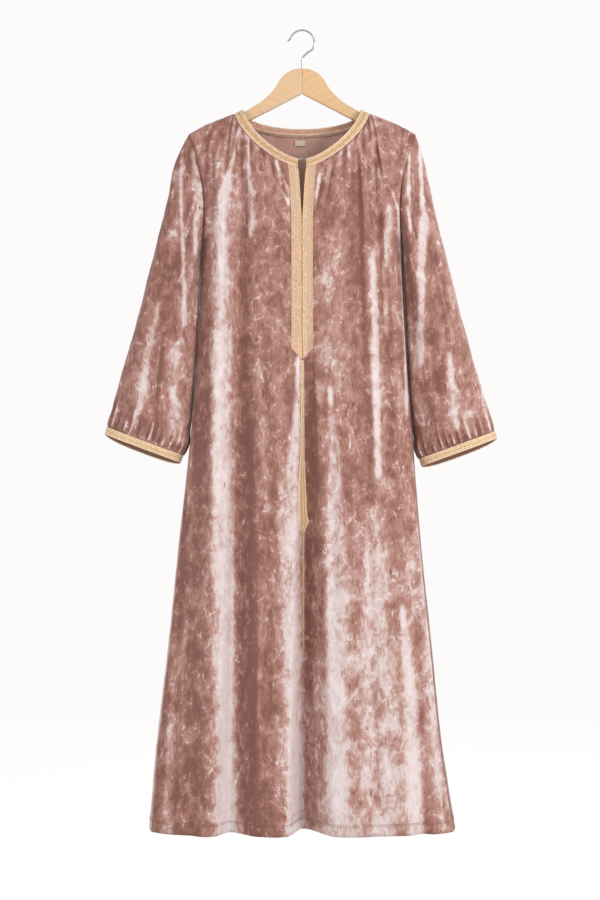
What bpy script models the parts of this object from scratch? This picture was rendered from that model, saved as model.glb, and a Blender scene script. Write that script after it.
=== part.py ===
"""A long velvet kaftan on a wooden hanger.

Metres, +Z up. The origin is the inside of the hanger's hook, where a rail carries it. The front faces -Y
and the wearer's right sleeve is on the -X side. Every piece of cloth is a wall between two grids of points:
the outer one follows the garment, and the inner one lies a wall's thickness inside it.
"""

import math
from collections import defaultdict, namedtuple

import bmesh
import bpy
import numpy as np

# Cloth and seams
CLOTH_WALL = 0.0020
BRAID_WALL = 0.0024
BRAID_PROUD = 0.0006
SEAM_GAP = 0.0003
SEAM_STEP_BACK = 0.6
OVERLAY_GAP = 0.0003
OVERLAY_WALL = 0.0012

# Shoulder line, as points from the neck to the tip of the shoulder
Point = namedtuple("Point", "across height")
NECK_TOP = Point(0.107, -0.144)
SHOULDER_TIP = Point(0.208, -0.1895)
SHOULDER_LINE = [
    Point(0.000, -0.1270),
    Point(0.060, -0.1330),
    NECK_TOP,
    Point(0.1225, -0.1515),
    Point(0.158, -0.1650),
    Point(0.190, -0.1790),
    SHOULDER_TIP,
]

# Neck band: its two edges start on the shoulder line, band width apart, and are superellipses
BAND_OUTER_HALF = 0.1225
FRONT_NECK_DROP = Point(0.098, 0.106)
BACK_NECK_DROP = Point(0.030, 0.0385)
FRONT_NECK_POWER = 1.5
BACK_NECK_POWER = 2.0

# Neck slit, with the braid of the placket beside it
SLIT_TOP_HALF = 0.0080
SLIT_LOW_HALF = 0.0005
SLIT_LEVEL = 7
PLACKET_WIDTHS = [0.0190, 0.0130, 0.0075, 0.0030, 0.0]
PLACKET_SQUARE_END = -0.584
PLACKET_POINT = -0.603
PLACKET_TOP_ROW = 0.04
PLACKET_SLANT_ROW = 0.02

# Body sections down to the hem: half widths, depths, and the side seam's place as a share
Section = namedtuple("Section", "height left right front back seam")
BODY = [
    Section(-0.250, 0.181, 0.181, 0.0462, 0.0334, 1.000),
    Section(-0.385, 0.181, 0.181, 0.047, 0.034, 1.000),
    Section(-0.565, 0.190, 0.190, 0.055, 0.036, 0.986),
    Section(-0.729, 0.203, 0.202, 0.060, 0.037, 0.982),
    Section(-0.890, 0.221, 0.214, 0.064, 0.038, 0.980),
    Section(-1.132, 0.247, 0.239, 0.069, 0.040, 0.976),
    Section(-1.315, 0.269, 0.259, 0.073, 0.041, 0.974),
    Section(-1.456, 0.281, 0.282, 0.076, 0.042, 0.972),
]
UNDERARM = -0.385
HEM = BODY[-1].height
ROUNDNESS = 3.1
ROLL_DROP = 0.150
WOOD_COVER = 0.0121
WOOD_ROLL = 0.0075
WOOD_COVER_FADE = (0.040, 0.120)
COVER_BLEND = 4
SEAM_EASE = 0.022

# Armhole: how far in it lies at each drop below the shoulder tip, and how deep it is, front and back
Arm = namedtuple("Arm", "drop across")
ARMHOLE = [
    Arm(0.000, SHOULDER_TIP.across),
    Arm(0.016, 0.2000),
    Arm(0.058, 0.1885),
    Arm(0.084, 0.1820),
    Arm(0.125, 0.1770),
    Arm(SHOULDER_TIP.height - UNDERARM, 0.1810),
]
ARMHOLE_DEPTH = {"front": 0.034, "back": 0.026}
ARMHOLE_ROUND = 0.6
ARMHOLE_CALM = 2.0

# Folds: a ridge has a positive rise and a trough a negative one, left and right are its half widths
Fold = namedtuple("Fold", "face start stop top_across low_across top_rise low_rise left right")
FOLDS = [
    Fold("front", -0.200, HEM, -0.148, -0.174, 0.006, 0.008, 0.030, 0.026),
    Fold("front", -0.230, HEM, -0.110, -0.130, -0.007, -0.034, 0.028, 0.052),
    Fold("front", -0.600, HEM, -0.045, -0.049, 0.002, 0.006, 0.040, 0.028),
    Fold("front", -0.540, HEM, 0.006, 0.002, -0.005, -0.064, 0.030, 0.060),
    Fold("front", -0.600, -1.050, 0.023, 0.032, 0.005, 0.006, 0.012, 0.026),
    Fold("front", -0.700, HEM, 0.075, 0.088, 0.003, 0.006, 0.040, 0.060),
    Fold("front", -0.185, -0.900, 0.128, 0.160, -0.009, -0.006, 0.018, 0.022),
    Fold("front", -0.185, -0.900, 0.104, 0.134, 0.006, 0.006, 0.018, 0.020),
    Fold("front", -0.980, HEM, 0.196, 0.216, -0.003, -0.010, 0.026, 0.026),
    Fold("back", -0.240, HEM, -0.120, -0.165, -0.004, -0.016, 0.040, 0.040),
    Fold("back", -0.280, HEM, -0.030, -0.050, -0.004, -0.018, 0.044, 0.044),
    Fold("back", -0.260, HEM, 0.058, 0.088, -0.003, -0.016, 0.044, 0.044),
    Fold("back", -0.300, HEM, 0.140, 0.200, -0.003, -0.010, 0.036, 0.036),
]
FOLD_FADE = 0.075
FOLD_TOP_NARROWING = 0.45

# Gathers where the cloth is drawn into the neck band, the shoulder seams and the cuffs
GATHER_RISE = {"neck": 0.0026, "shoulder": 0.0013, "back": 0.0016, "cuff": 0.0015}
GATHER_LENGTH = {"neck": 0.55, "shoulder": 0.60, "back": 0.40, "cuff": 0.14}
GATHER_START = 0.03
GATHER_RIDGE = 1.0
GATHER_DIP = -0.35

# Columns of one half of the front and of the back, from the side to the middle
SHOULDER_COLUMNS = 5
NECK_COLUMNS = {"front": 14, "back": 8}
PLACKET_COLUMNS = len(PLACKET_WIDTHS) - 1
SHOULDER_TOPS = [SHOULDER_TIP.across, 0.195, 0.179, 0.161, 0.142, BAND_OUTER_HALF]
SHOULDER_SHARES = {
    "front": [1.0, 0.94, 0.80, 0.58, 0.30, 0.0],
    "back": [1.0, 0.975, 0.875, 0.625, 0.31, 0.0],
}
INNER_SHARE = {"front": 0.86, "back": 0.84}

# Rows: levels 0 to 11 run from the top edge to the underarm, and those below have these heights
YOKE_ROWS = 11
LOWER_HEIGHTS = [
    UNDERARM, -0.430, -0.500, PLACKET_SQUARE_END, PLACKET_POINT, -0.680, -0.770, -0.860,
    -0.950, -1.040, -1.130, -1.220, -1.310, -1.390, HEM,
]

# Sleeve sections along its length: the outer line, the line under the arm, and the depths
Sleeve = namedtuple("Sleeve", "along outer outer_height inner inner_height front back")
SLEEVES = {
    -1: [
        Sleeve(0.00, 0.208, -0.1895, 0.1810, -0.385, 0.034, 0.026),
        Sleeve(0.10, 0.2310, -0.238, 0.1893, -0.428, 0.037, 0.030),
        Sleeve(0.25, 0.2490, -0.322, 0.1928, -0.489, 0.040, 0.033),
        Sleeve(0.45, 0.2765, -0.432, 0.1965, -0.567, 0.042, 0.036),
        Sleeve(0.65, 0.3060, -0.540, 0.2020, -0.647, 0.043, 0.038),
        Sleeve(0.85, 0.3390, -0.650, 0.2070, -0.727, 0.040, 0.037),
        Sleeve(0.94, 0.3515, -0.695, 0.2105, -0.757, 0.036, 0.034),
        Sleeve(1.00, 0.3575, -0.7235, 0.2190, -0.775, 0.030, 0.030),
    ],
    1: [
        Sleeve(0.00, 0.208, -0.1895, 0.1810, -0.385, 0.034, 0.026),
        Sleeve(0.10, 0.2225, -0.238, 0.1890, -0.428, 0.037, 0.030),
        Sleeve(0.25, 0.2410, -0.322, 0.1930, -0.490, 0.040, 0.033),
        Sleeve(0.45, 0.2680, -0.432, 0.1970, -0.570, 0.042, 0.036),
        Sleeve(0.65, 0.2960, -0.540, 0.2015, -0.651, 0.043, 0.038),
        Sleeve(0.85, 0.3280, -0.654, 0.2060, -0.738, 0.040, 0.037),
        Sleeve(0.94, 0.3425, -0.700, 0.2085, -0.765, 0.036, 0.034),
        Sleeve(1.00, 0.3515, -0.731, 0.2145, -0.781, 0.030, 0.030),
    ],
}
SLEEVE_RINGS = [0.0, 0.05, 0.12, 0.20, 0.30, 0.42, 0.54, 0.66, 0.78, 0.88, 0.95, 1.0]
SLEEVE_ROUNDNESS = 2.4
ARMHOLE_FADE = 0.45
CUFF_LENGTH = 0.0145
CUFF_BACK_DROP = 0.011

# Folds of a sleeve: angle round it from the outer line by way of the front, in degrees
SleeveFold = namedtuple("SleeveFold", "angle start stop rise half_angle")
SLEEVE_FOLDS = [
    SleeveFold(136, 0.00, 0.62, -0.011, 20),
    SleeveFold(106, 0.00, 0.75, 0.004, 20),
    SleeveFold(72, 0.06, 0.90, -0.005, 20),
    SleeveFold(42, 0.20, 0.97, 0.003, 18),
    SleeveFold(232, 0.05, 0.80, -0.006, 24),
    SleeveFold(296, 0.10, 0.92, -0.004, 24),
]
SLEEVE_FADE_IN = 0.25
SLEEVE_FADE_OUT = 0.50

# Braid down the centre front, below the placket: its edges, which widen to a lopsided leaf and end as a cord
Braid = namedtuple("Braid", "height left right")
CENTRE_BRAID = [
    Braid(-0.6045, -0.0024, 0.0032),
    Braid(-0.711, -0.0024, 0.0038),
    Braid(-0.783, -0.0036, 0.0046),
    Braid(-0.824, -0.0066, 0.0070),
    Braid(-0.872, -0.0066, 0.0092),
    Braid(-0.887, -0.0066, 0.0108),
    Braid(-0.894, -0.0066, 0.0138),
    Braid(-0.904, -0.0066, 0.0088),
    Braid(-0.918, 0.0006, 0.0044),
    Braid(-1.141, 0.0006, 0.0038),
]
BRAID_SHARES = [0.0, 0.33, 0.67, 1.0]

# Size tag inside the back of the neck
TAG_ACROSS = [-0.0135, 0.0, 0.0055]
TAG_LEVELS = [1.15, 1.95]
TAG_WALL = 0.0006

# Hook and eye at the top of the slit
CLASP_HEIGHTS = (-0.2385, -0.2425)
CLASP_WIRE = 0.0009
CLASP_ROOT = 0.0135
CLASP_HOOK_END = -0.0015
CLASP_EYE_END = 0.0035
CLASP_SLACK = 0.0002
CLASP_BEND_STEPS = 6

# Wooden hanger
WOOD_THICK = 0.011
WOOD_BEVEL = 0.0045
WOOD_CLEARANCE = 0.0042
WOOD_HALF = 0.197
WOOD_CROWN = [
    Point(0.000, -0.0690),
    Point(0.015, -0.0706),
    Point(0.028, -0.0770),
    Point(0.040, -0.0888),
    Point(0.0485, -0.1030),
    Point(0.059, -0.1156),
    Point(0.074, -0.1290),
    Point(0.091, -0.1395),
    Point(0.107, -0.1490),
]
WOOD_UNDERSIDE = [
    Point(0.000, -0.1150),
    Point(0.050, -0.1405),
    Point(0.097, -0.1645),
    Point(0.150, -0.1880),
    Point(0.197, -0.2045),
]
WOOD_STEPS = 22
UNDERSIDE_STEPS = 8
TIP_STEPS = 6
TIP_REACH = 0.45
BEVEL_SEGMENTS = 2
BEVEL_ANGLE = 60

# Hook of the hanger
HOOK_WIRE = 0.0036
HOOK_RADIUS = 0.0226
HOOK_SHANK_END = -0.0840
HOOK_NECK = [
    Point(0.0, -0.0600), Point(0.0, -0.0520), Point(0.0032, -0.0455), Point(0.0105, -0.0390),
]
HOOK_ARC = (-36, 164)
HOOK_ARC_STEPS = 17
HOOK_TIP = Point(-0.0262, -0.0180)
SOCKET_GAP = 0.0003
SOCKET_SIDES = 12
WIRE_RESOLUTION = 2

COLOURS = {
    "velvet": ((0.352, 0.181, 0.148, 1), 0.70, 0.0),
    "braid": ((0.680, 0.465, 0.250, 1), 0.45, 0.3),
    "tag": ((0.700, 0.620, 0.500, 1), 0.80, 0.0),
    "wood": ((0.860, 0.560, 0.310, 1), 0.40, 0.0),
    "steel": ((0.700, 0.700, 0.700, 1), 0.22, 1.0),
}


def smooth(at, places, values):
    """A smooth curve through a table's values, flat outside it."""
    slopes = np.gradient(values, places)
    at = min(max(at, places[0]), places[-1])
    n = min(int(np.searchsorted(places, at, side="right")) - 1, len(places) - 2)
    n = max(n, 0)
    step = places[n + 1] - places[n]
    t = (at - places[n]) / step
    return (
        (2 * t**3 - 3 * t**2 + 1) * values[n]
        + (t**3 - 2 * t**2 + t) * step * slopes[n]
        + (3 * t**2 - 2 * t**3) * values[n + 1]
        + (t**3 - t**2) * step * slopes[n + 1]
    )


def column(table, name):
    return [getattr(row, name) for row in table]


def ease(t):
    """0 before 0, 1 after 1, and smooth between."""
    t = min(max(t, 0.0), 1.0)
    return t * t * (3 - 2 * t)


def mix(a, b, t):
    return a + (b - a) * t


# The garment's surface

def shoulder_height(across):
    return smooth(abs(across), column(SHOULDER_LINE, "across"), column(SHOULDER_LINE, "height"))


def section(height, name):
    depths = [-row.height for row in BODY]
    return smooth(-height, depths, column(BODY, name))


def half_width(side, height):
    """How far the cloth reaches to one side: to the armhole above the underarm, to the side below it."""
    if height > SHOULDER_TIP.height:
        return SHOULDER_TIP.across
    if height > UNDERARM:
        drop = SHOULDER_TIP.height - height
        return smooth(drop, column(ARMHOLE, "drop"), column(ARMHOLE, "across"))
    return section(height, "left" if side < 0 else "right")


def armhole_depth(face, height, away):
    """Depth of the armhole's seam, where away is 0, and of the calmer cloth beside it, where away is 1."""
    share = (SHOULDER_TIP.height - height) / (SHOULDER_TIP.height - UNDERARM)
    if not 0 < share < 1:
        return 0.0
    return ARMHOLE_DEPTH[face] * math.sin(math.pi * share) ** mix(ARMHOLE_ROUND, ARMHOLE_CALM, away)


def fold_rise(face, across, height):
    total = 0.0
    for fold in FOLDS:
        if fold.face != face or height > fold.start or height < fold.stop:
            continue
        t = (fold.start - height) / (fold.start - fold.stop)
        centre = mix(fold.top_across, fold.low_across, t)
        width = mix(FOLD_TOP_NARROWING, 1.0, t) * (fold.left if across < centre else fold.right)
        away = abs(across - centre) / width
        if away >= 1:
            continue
        rise = mix(fold.top_rise, fold.low_rise, t) * ease((fold.start - height) / FOLD_FADE)
        if fold.stop > HEM:
            rise *= ease((height - fold.stop) / (2 * FOLD_FADE))
        total += rise * math.cos(math.pi * away / 2) ** 2
    return total


def over_wood(depth, drop):
    """The cloth's depth, and no less than it takes to lie over the hanger's rounded top edge."""
    down = min(max(drop / WOOD_ROLL, 0.0), 1.0)
    start, stop = WOOD_COVER_FADE
    cover = WOOD_COVER * math.sqrt(1 - (1 - down) ** 2) * (1 - ease((drop - start) / (stop - start)))
    return (max(depth, 0.0) ** COVER_BLEND + cover**COVER_BLEND) ** (1 / COVER_BLEND)


def body_depth(face, across, height):
    """How far the cloth stands in front of, or behind, the plane of the hanger."""
    side = -1 if across < 0 else 1
    half = half_width(side, height)
    roll = min(max((shoulder_height(across) - height) / ROLL_DROP, 0.0), 1.0)
    full = section(height, face) * math.sqrt(1 - (1 - roll) ** 2)
    away = ease((half - abs(across)) / SEAM_EASE)
    edge = armhole_depth(face, height, away)
    share = min(abs(across) / half, 1.0)
    bulge = (1 - share**ROUNDNESS) ** (1 / ROUNDNESS)
    depth = edge + (full - edge) * bulge + fold_rise(face, across, height) * away
    return over_wood(depth, shoulder_height(across) - height)


def surface(face, across, height, rise=0.0):
    depth = body_depth(face, across, height) + rise
    return np.array([across, -depth if face == "front" else depth, height])


def neck_curve(face, row, across):
    """Height of the neck band's line at a distance from the middle: row 0 is its free edge, 1 its seam."""
    half = mix(NECK_TOP.across, BAND_OUTER_HALF, row)
    drop = mix(*(FRONT_NECK_DROP if face == "front" else BACK_NECK_DROP), row)
    power = FRONT_NECK_POWER if face == "front" else BACK_NECK_POWER
    share = min(abs(across) / half, 1.0)
    return shoulder_height(half) - drop * (1 - share**power) ** (1 / power)


def neck_across(face, row, column_number):
    """Distance from the middle of a neck or placket column on the band's line."""
    columns = NECK_COLUMNS[face]
    half = mix(NECK_TOP.across, BAND_OUTER_HALF, row)
    n = column_number - SHOULDER_COLUMNS
    if face == "back":
        return half * math.cos(math.pi / 2 * n / columns)
    placket_edge = SLIT_TOP_HALF + PLACKET_WIDTHS[0]
    if n <= columns:
        last = math.acos((placket_edge / BAND_OUTER_HALF) ** (FRONT_NECK_POWER / 2))
        return half * math.cos(last * n / columns) ** (2 / FRONT_NECK_POWER)
    return (SLIT_TOP_HALF + PLACKET_WIDTHS[n - columns]) * half / BAND_OUTER_HALF


def top_edge(face, column_number):
    """Where a column starts: on the shoulder seam, or on the seam of the neck band."""
    if column_number <= SHOULDER_COLUMNS:
        across = SHOULDER_TOPS[column_number]
        return Point(across, shoulder_height(across))
    across = neck_across(face, 1.0, column_number)
    return Point(across, neck_curve(face, 1.0, across))


def yoke_share(level):
    return 0.5 * (1 - math.cos(math.pi * level / YOKE_ROWS))


def slit_half(level):
    return mix(SLIT_TOP_HALF, SLIT_LOW_HALF, min(level / SLIT_LEVEL, 1.0))


def gather(face, column_number, share):
    """The small ridges that the seam at the top of a panel draws the cloth into."""
    last = SHOULDER_COLUMNS + NECK_COLUMNS[face]
    if column_number <= 0 or column_number >= last:
        return 0.0
    kind = "shoulder" if column_number < SHOULDER_COLUMNS else ("neck" if face == "front" else "back")
    wave = GATHER_RIDGE if column_number % 2 else GATHER_DIP
    return GATHER_RISE[kind] * wave * ease(share / GATHER_START) * (1 - ease(share / GATHER_LENGTH[kind]))


def placket_or_middle(face, level):
    """Distance from the middle of the innermost neck column."""
    return slit_half(level) + PLACKET_WIDTHS[0] if face == "front" else 0.0


def panel_point(face, side, column_number, level):
    """A point of the front or back panel, by column from its side edge and by level from its top edge."""
    innermost = SHOULDER_COLUMNS + NECK_COLUMNS[face]
    shares = SHOULDER_SHARES[face]
    if level <= YOKE_ROWS:
        share = yoke_share(level)
        top = top_edge(face, column_number)
        height = mix(top.height, UNDERARM, share)
        edge_height = mix(SHOULDER_TIP.height, UNDERARM, share)
        edge = half_width(side, edge_height)
        spread = math.sqrt(share)
        inner = mix(BAND_OUTER_HALF, INNER_SHARE[face] * half_width(side, UNDERARM), spread)
        middle = placket_or_middle(face, level)
        if column_number <= SHOULDER_COLUMNS:
            top_weight = (top.across - BAND_OUTER_HALF) / (SHOULDER_TIP.across - BAND_OUTER_HALF)
            across = mix(inner, edge, mix(top_weight, shares[column_number], share))
        elif column_number <= innermost:
            top_middle = placket_or_middle(face, 0)
            top_weight = (top.across - top_middle) / (BAND_OUTER_HALF - top_middle)
            even = (innermost - column_number) / NECK_COLUMNS[face]
            across = mix(middle, inner, mix(top_weight, even, spread))
        else:
            across = slit_half(level) + PLACKET_WIDTHS[column_number - innermost]
        if level == 0:
            across, height = top
        rise = gather(face, column_number, share)
        if level == 0 and column_number <= SHOULDER_COLUMNS:
            return np.array([side * across, 0.0, height])
        return surface(face, side * across, height, rise)
    height = LOWER_HEIGHTS[level - YOKE_ROWS]
    half = half_width(side, height)
    seam = section(height, "seam")
    if column_number == 0:
        return surface("front", side * half * seam, height)
    outer = seam if face == "front" else 1.0
    inner = INNER_SHARE[face]
    middle = placket_or_middle(face, level)
    if column_number <= SHOULDER_COLUMNS:
        across = half * mix(inner, outer, shares[column_number])
    elif column_number <= innermost:
        even = (innermost - column_number) / NECK_COLUMNS[face]
        across = mix(middle, half * inner, even)
    else:
        across = slit_half(level) + PLACKET_WIDTHS[column_number - innermost]
    return surface(face, side * across, height)


def panel_grid(face):
    """All the points of the front or the back, from the -X side to the +X side."""
    last = SHOULDER_COLUMNS + NECK_COLUMNS[face]
    if face == "front":
        last += PLACKET_COLUMNS
    places = [(-1, n) for n in range(last + 1)]
    places += [(1, n) for n in range(last if face == "front" else last - 1, -1, -1)]
    levels = range(YOKE_ROWS + len(LOWER_HEIGHTS))
    return np.array([[panel_point(face, side, n, level) for side, n in places] for level in levels])


def band_grid(face, side):
    """One side of the neck band at the front, or the whole of it at the back."""
    last = SHOULDER_COLUMNS + NECK_COLUMNS[face]
    if face == "front":
        last += PLACKET_COLUMNS
        places = [(side, n) for n in range(SHOULDER_COLUMNS, last + 1)]
    else:
        places = [(-1, n) for n in range(SHOULDER_COLUMNS, last + 1)]
        places += [(1, n) for n in range(last - 1, SHOULDER_COLUMNS - 1, -1)]
    rows = []
    for row in (0.0, 0.5, 1.0):
        points = []
        for where, n in places:
            across = neck_across(face, row, n)
            point = surface(face, where * across, neck_curve(face, row, across))
            if n == SHOULDER_COLUMNS:
                point = np.array([where * across, 0.0, shoulder_height(across)])
            points.append(point)
        rows.append(points)
    return np.array(rows)


def armhole_ring(front, back, side):
    """The seam of a sleeve, from the shoulder tip by the front to the underarm and up the back."""
    edge = 0 if side < 0 else -1
    down = [front[level, edge] for level in range(YOKE_ROWS + 1)]
    up = [back[level, edge] for level in range(YOKE_ROWS - 1, 0, -1)]
    corners = down + up
    ring = []
    for n, point in enumerate(corners):
        following = corners[(n + 1) % len(corners)]
        ring += [point, (point + following) / 2]
    return np.array(ring)


def sleeve_ring(side, along, angles):
    table = SLEEVES[side]
    places = column(table, "along")
    value = {name: smooth(along, places, column(table, name)) for name in Sleeve._fields[1:]}
    outer = np.array([side * value["outer"], 0.0, value["outer_height"]])
    inner = np.array([side * value["inner"], 0.0, value["inner_height"]])
    centre, half = (outer + inner) / 2, (outer - inner) / 2
    length = np.linalg.norm(half)
    points = []
    for angle in angles:
        cosine, sine = math.cos(angle), math.sin(angle)
        long_way = math.copysign(abs(cosine) ** (2 / SLEEVE_ROUNDNESS), cosine)
        short_way = math.copysign(abs(sine) ** (2 / SLEEVE_ROUNDNESS), sine)
        depth = value["front"] if sine > 0 else value["back"]
        rise = sleeve_rise(math.degrees(angle), along)
        point = centre + half * long_way * (1 + rise / length)
        point[1] = -short_way * (depth + rise)
        point[2] += min(short_way, 0.0) * CUFF_BACK_DROP * ease(along)
        points.append(point)
    return np.array(points)


def sleeve_rise(angle, along):
    total = 0.0
    for fold in SLEEVE_FOLDS:
        away = abs((angle - fold.angle + 180) % 360 - 180) / fold.half_angle
        if away >= 1 or not fold.start < along < fold.stop:
            continue
        length = fold.stop - fold.start
        begins = ease((along - fold.start) / (SLEEVE_FADE_IN * length))
        ends = ease((fold.stop - along) / (SLEEVE_FADE_OUT * length))
        total += fold.rise * begins * ends * math.cos(math.pi * away / 2) ** 2
    return total


def sleeve_grid(front, back, side):
    """Rings from the armhole to the seam of the cuff band, the last of them gathered at every second point."""
    seam_ring = armhole_ring(front, back, side)
    count = len(seam_ring)
    angles = [2 * math.pi * n / count for n in range(count)]
    rest = seam_ring - sleeve_ring(side, 0.0, angles)
    rings = [seam_ring]
    for along in SLEEVE_RINGS[1:]:
        ring = sleeve_ring(side, along, angles) + rest * (1 - ease(along / ARMHOLE_FADE))
        centre = ring.mean(axis=0)
        if along < 1:
            share = ease(1 - (1 - along) / GATHER_LENGTH["cuff"])
            for n in range(count):
                away = ring[n] - centre
                wave = GATHER_RIDGE if n % 2 else GATHER_DIP
                ring[n] += away / np.linalg.norm(away) * GATHER_RISE["cuff"] * wave * share
        rings.append(ring)
    return np.array(rings)


def cuff_grid(sleeve):
    """The cuff band goes on from the sleeve's last ring, straight along the sleeve."""
    direction = sleeve[-1].mean(axis=0) - sleeve[-3].mean(axis=0)
    direction /= np.linalg.norm(direction)
    return np.array([sleeve[-1] + direction * CUFF_LENGTH * share for share in (0.0, 0.5, 1.0)])


# Walls from grids

class Patch:
    """A grid of points on the outside of the garment, with the faces that are kept.

    Columns before the turn are split along their other diagonal, so that the two halves of a panel match.
    """

    def __init__(self, name, grid, material, wrap=False, towards=None, wall=CLOTH_WALL, proud=0.0, turn=0):
        self.name, self.grid, self.material = name, grid, material
        self.wrap, self.wall, self.proud, self.turn = wrap, wall, proud, turn
        rows, columns = grid.shape[:2]
        self.keep = np.ones((rows - 1, columns if wrap else columns - 1), bool)
        total = 0.0
        for i, j in np.argwhere(self.keep):
            a, b, c, d = (grid[place] for place in self.corners(i, j))
            normal = np.cross(c - a, d - b)
            if towards is not None:
                total += normal @ np.array(towards)
            else:
                total += normal @ ((a + c) / 2 - grid[i].mean(axis=0))
        self.flip = total < 0

    def corners(self, i, j):
        following = (j + 1) % self.grid.shape[1]
        return (i, j), (i, following), (i + 1, following), (i + 1, j)

    def faces(self):
        """The two triangles of each kept face, turned so that they face out."""
        for i, j in np.argwhere(self.keep):
            a, b, c, d = self.corners(i, j)
            halves = ((a, b, d), (b, c, d)) if j < self.turn else ((a, b, c), (a, c, d))
            for triangle in halves:
                yield triangle[::-1] if self.flip else triangle


def key(point):
    return tuple(np.round(point, 6) + 0.0)


def shared_normals(patches):
    """One outward normal for each place, to which every patch that meets there gives the same weight."""
    sums = defaultdict(lambda: np.zeros(3))
    for patch in patches:
        own = defaultdict(lambda: np.zeros(3))
        for triangle in patch.faces():
            a, b, c = (patch.grid[place] for place in triangle)
            normal = np.cross(b - a, c - a)
            for place in triangle:
                own[key(patch.grid[place])] += normal
        for place, total in own.items():
            sums[place] += total / max(np.linalg.norm(total), 1e-12)
    return {place: total / np.linalg.norm(total) for place, total in sums.items()}


def patch_normals(patch, normals):
    grid = np.zeros_like(patch.grid)
    for place in np.ndindex(patch.grid.shape[:2]):
        grid[place] = normals.get(key(patch.grid[place]), np.zeros(3))
    return grid


def away_directions(patches):
    """For each patch and place, the way from that place into the patch's own cloth."""
    found = defaultdict(dict)
    for patch in patches:
        sums = defaultdict(lambda: np.zeros(3))
        for i, j in np.argwhere(patch.keep):
            places = patch.corners(i, j)
            centre = sum(patch.grid[place] for place in places) / 4
            for place in places:
                way = centre - patch.grid[place]
                sums[key(patch.grid[place])] += way / max(np.linalg.norm(way), 1e-9)
        for place, total in sums.items():
            found[place][patch.name] = total / max(np.linalg.norm(total), 1e-9)
    return found


def parted(patch, directions):
    """The patch's points, with those on a seam stepped back from the pieces that they meet."""
    grid = patch.grid.copy()
    for place in np.ndindex(grid.shape[:2]):
        here = directions[key(patch.grid[place])]
        if len(here) < 2:
            continue
        others = [way for name, way in here.items() if name != patch.name]
        way = here[patch.name] - sum(others) / len(others)
        grid[place] += way / np.linalg.norm(way) * SEAM_GAP * SEAM_STEP_BACK
    return grid


def wall_mesh(name, outer, inner, patch):
    """One closed body between two grids, with a rim wherever the kept faces end."""
    mesh = bpy.data.meshes.new(name)
    numbers = {}
    points = []

    def number(place, layer):
        if (place, layer) not in numbers:
            numbers[place, layer] = len(points)
            points.append((outer, inner)[layer][place])
        return numbers[place, layer]

    faces = []
    edges = set()
    for triangle in patch.faces():
        faces.append([number(place, 0) for place in triangle])
        faces.append([number(place, 1) for place in triangle[::-1]])
        edges.update(zip(triangle, triangle[1:] + triangle[:1]))
    for a, b in sorted(edges):
        if (b, a) not in edges:
            faces.append([number(b, 0), number(a, 0), number(a, 1)])
            faces.append([number(b, 0), number(a, 1), number(b, 1)])
    mesh.from_pydata([tuple(point) for point in points], [], faces)
    mesh.validate()
    return mesh


# Blender objects

def clear_scene():
    for obj in list(bpy.data.objects):
        bpy.data.objects.remove(obj, do_unlink=True)


def make_collection(name):
    made = bpy.data.collections.new(name)
    bpy.context.scene.collection.children.link(made)
    return made


def make_materials():
    made = {}
    for name, (colour, roughness, metallic) in COLOURS.items():
        material = bpy.data.materials.new(name)
        material.use_nodes = True
        shader = material.node_tree.nodes["Principled BSDF"]
        shader.inputs["Base Color"].default_value = colour
        shader.inputs["Roughness"].default_value = roughness
        shader.inputs["Metallic"].default_value = metallic
        made[name] = material
    return made


def add_object(name, data, material, collection):
    obj = bpy.data.objects.new(name, data)
    obj.data.materials.append(material)
    collection.objects.link(obj)
    return obj


def build_patches():
    """Every piece of the garment's own wall, with the grids that share their seams."""
    front, back = panel_grid("front"), panel_grid("back")
    forwards, backwards = (0, -1, 0), (0, 1, 0)
    patches = {
        "front": Patch("front", front, "velvet", towards=forwards, turn=front.shape[1] // 2),
        "back": Patch("back", back, "velvet", towards=backwards, turn=back.shape[1] // 2),
    }
    middle = front.shape[1] // 2 - 1
    patches["front"].keep[:SLIT_LEVEL, middle] = False
    for side, word in ((-1, "left"), (1, "right")):
        sleeve = sleeve_grid(front, back, side)
        patches["sleeve_" + word] = Patch("sleeve_" + word, sleeve, "velvet", wrap=True)
        band = band_grid("front", side)
        patches["neck_band_" + word] = Patch(
            "neck_band_" + word, band, "braid", towards=forwards, wall=BRAID_WALL, proud=BRAID_PROUD
        )
        cuff = cuff_grid(sleeve)
        patches["cuff_band_" + word] = Patch(
            "cuff_band_" + word, cuff, "braid", wrap=True, wall=BRAID_WALL, proud=BRAID_PROUD
        )
    band = band_grid("back", 1)
    patches["neck_band_back"] = Patch(
        "neck_band_back", band, "braid", towards=backwards, wall=BRAID_WALL, proud=BRAID_PROUD
    )
    return patches


def set_halfway(grid):
    """A sleeve's first ring has a point between each two of the armhole's: it takes their middle value."""
    ring = grid[0]
    for n in range(1, len(ring), 2):
        ring[n] = (ring[n - 1] + ring[(n + 1) % len(ring)]) / 2


def add_walls(patches, materials, collection):
    """Makes each patch an object, and returns the grids that what lies on the cloth is made from."""
    normals = shared_normals(patches.values())
    directions = away_directions(patches.values())
    sheets = {}
    for name, patch in patches.items():
        grid = parted(patch, directions)
        normal = patch_normals(patch, normals)
        if name.startswith("sleeve"):
            set_halfway(normal)
            set_halfway(grid)
        outer = grid + normal * patch.proud
        inner = outer - normal * patch.wall
        obj = add_object(name, wall_mesh(name, outer, inner, patch), materials[patch.material], collection)
        obj.data.shade_smooth()
        sheets[name] = (outer, inner, normal)
    return sheets


def between(grid, row, place):
    """A grid's value between its rows and columns."""
    i, j = min(int(row), grid.shape[0] - 2), min(int(place), grid.shape[1] - 2)
    v, u = row - i, place - j
    top = mix(grid[i, j], grid[i, j + 1], u)
    low = mix(grid[i + 1, j], grid[i + 1, j + 1], u)
    return mix(top, low, v)


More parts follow.
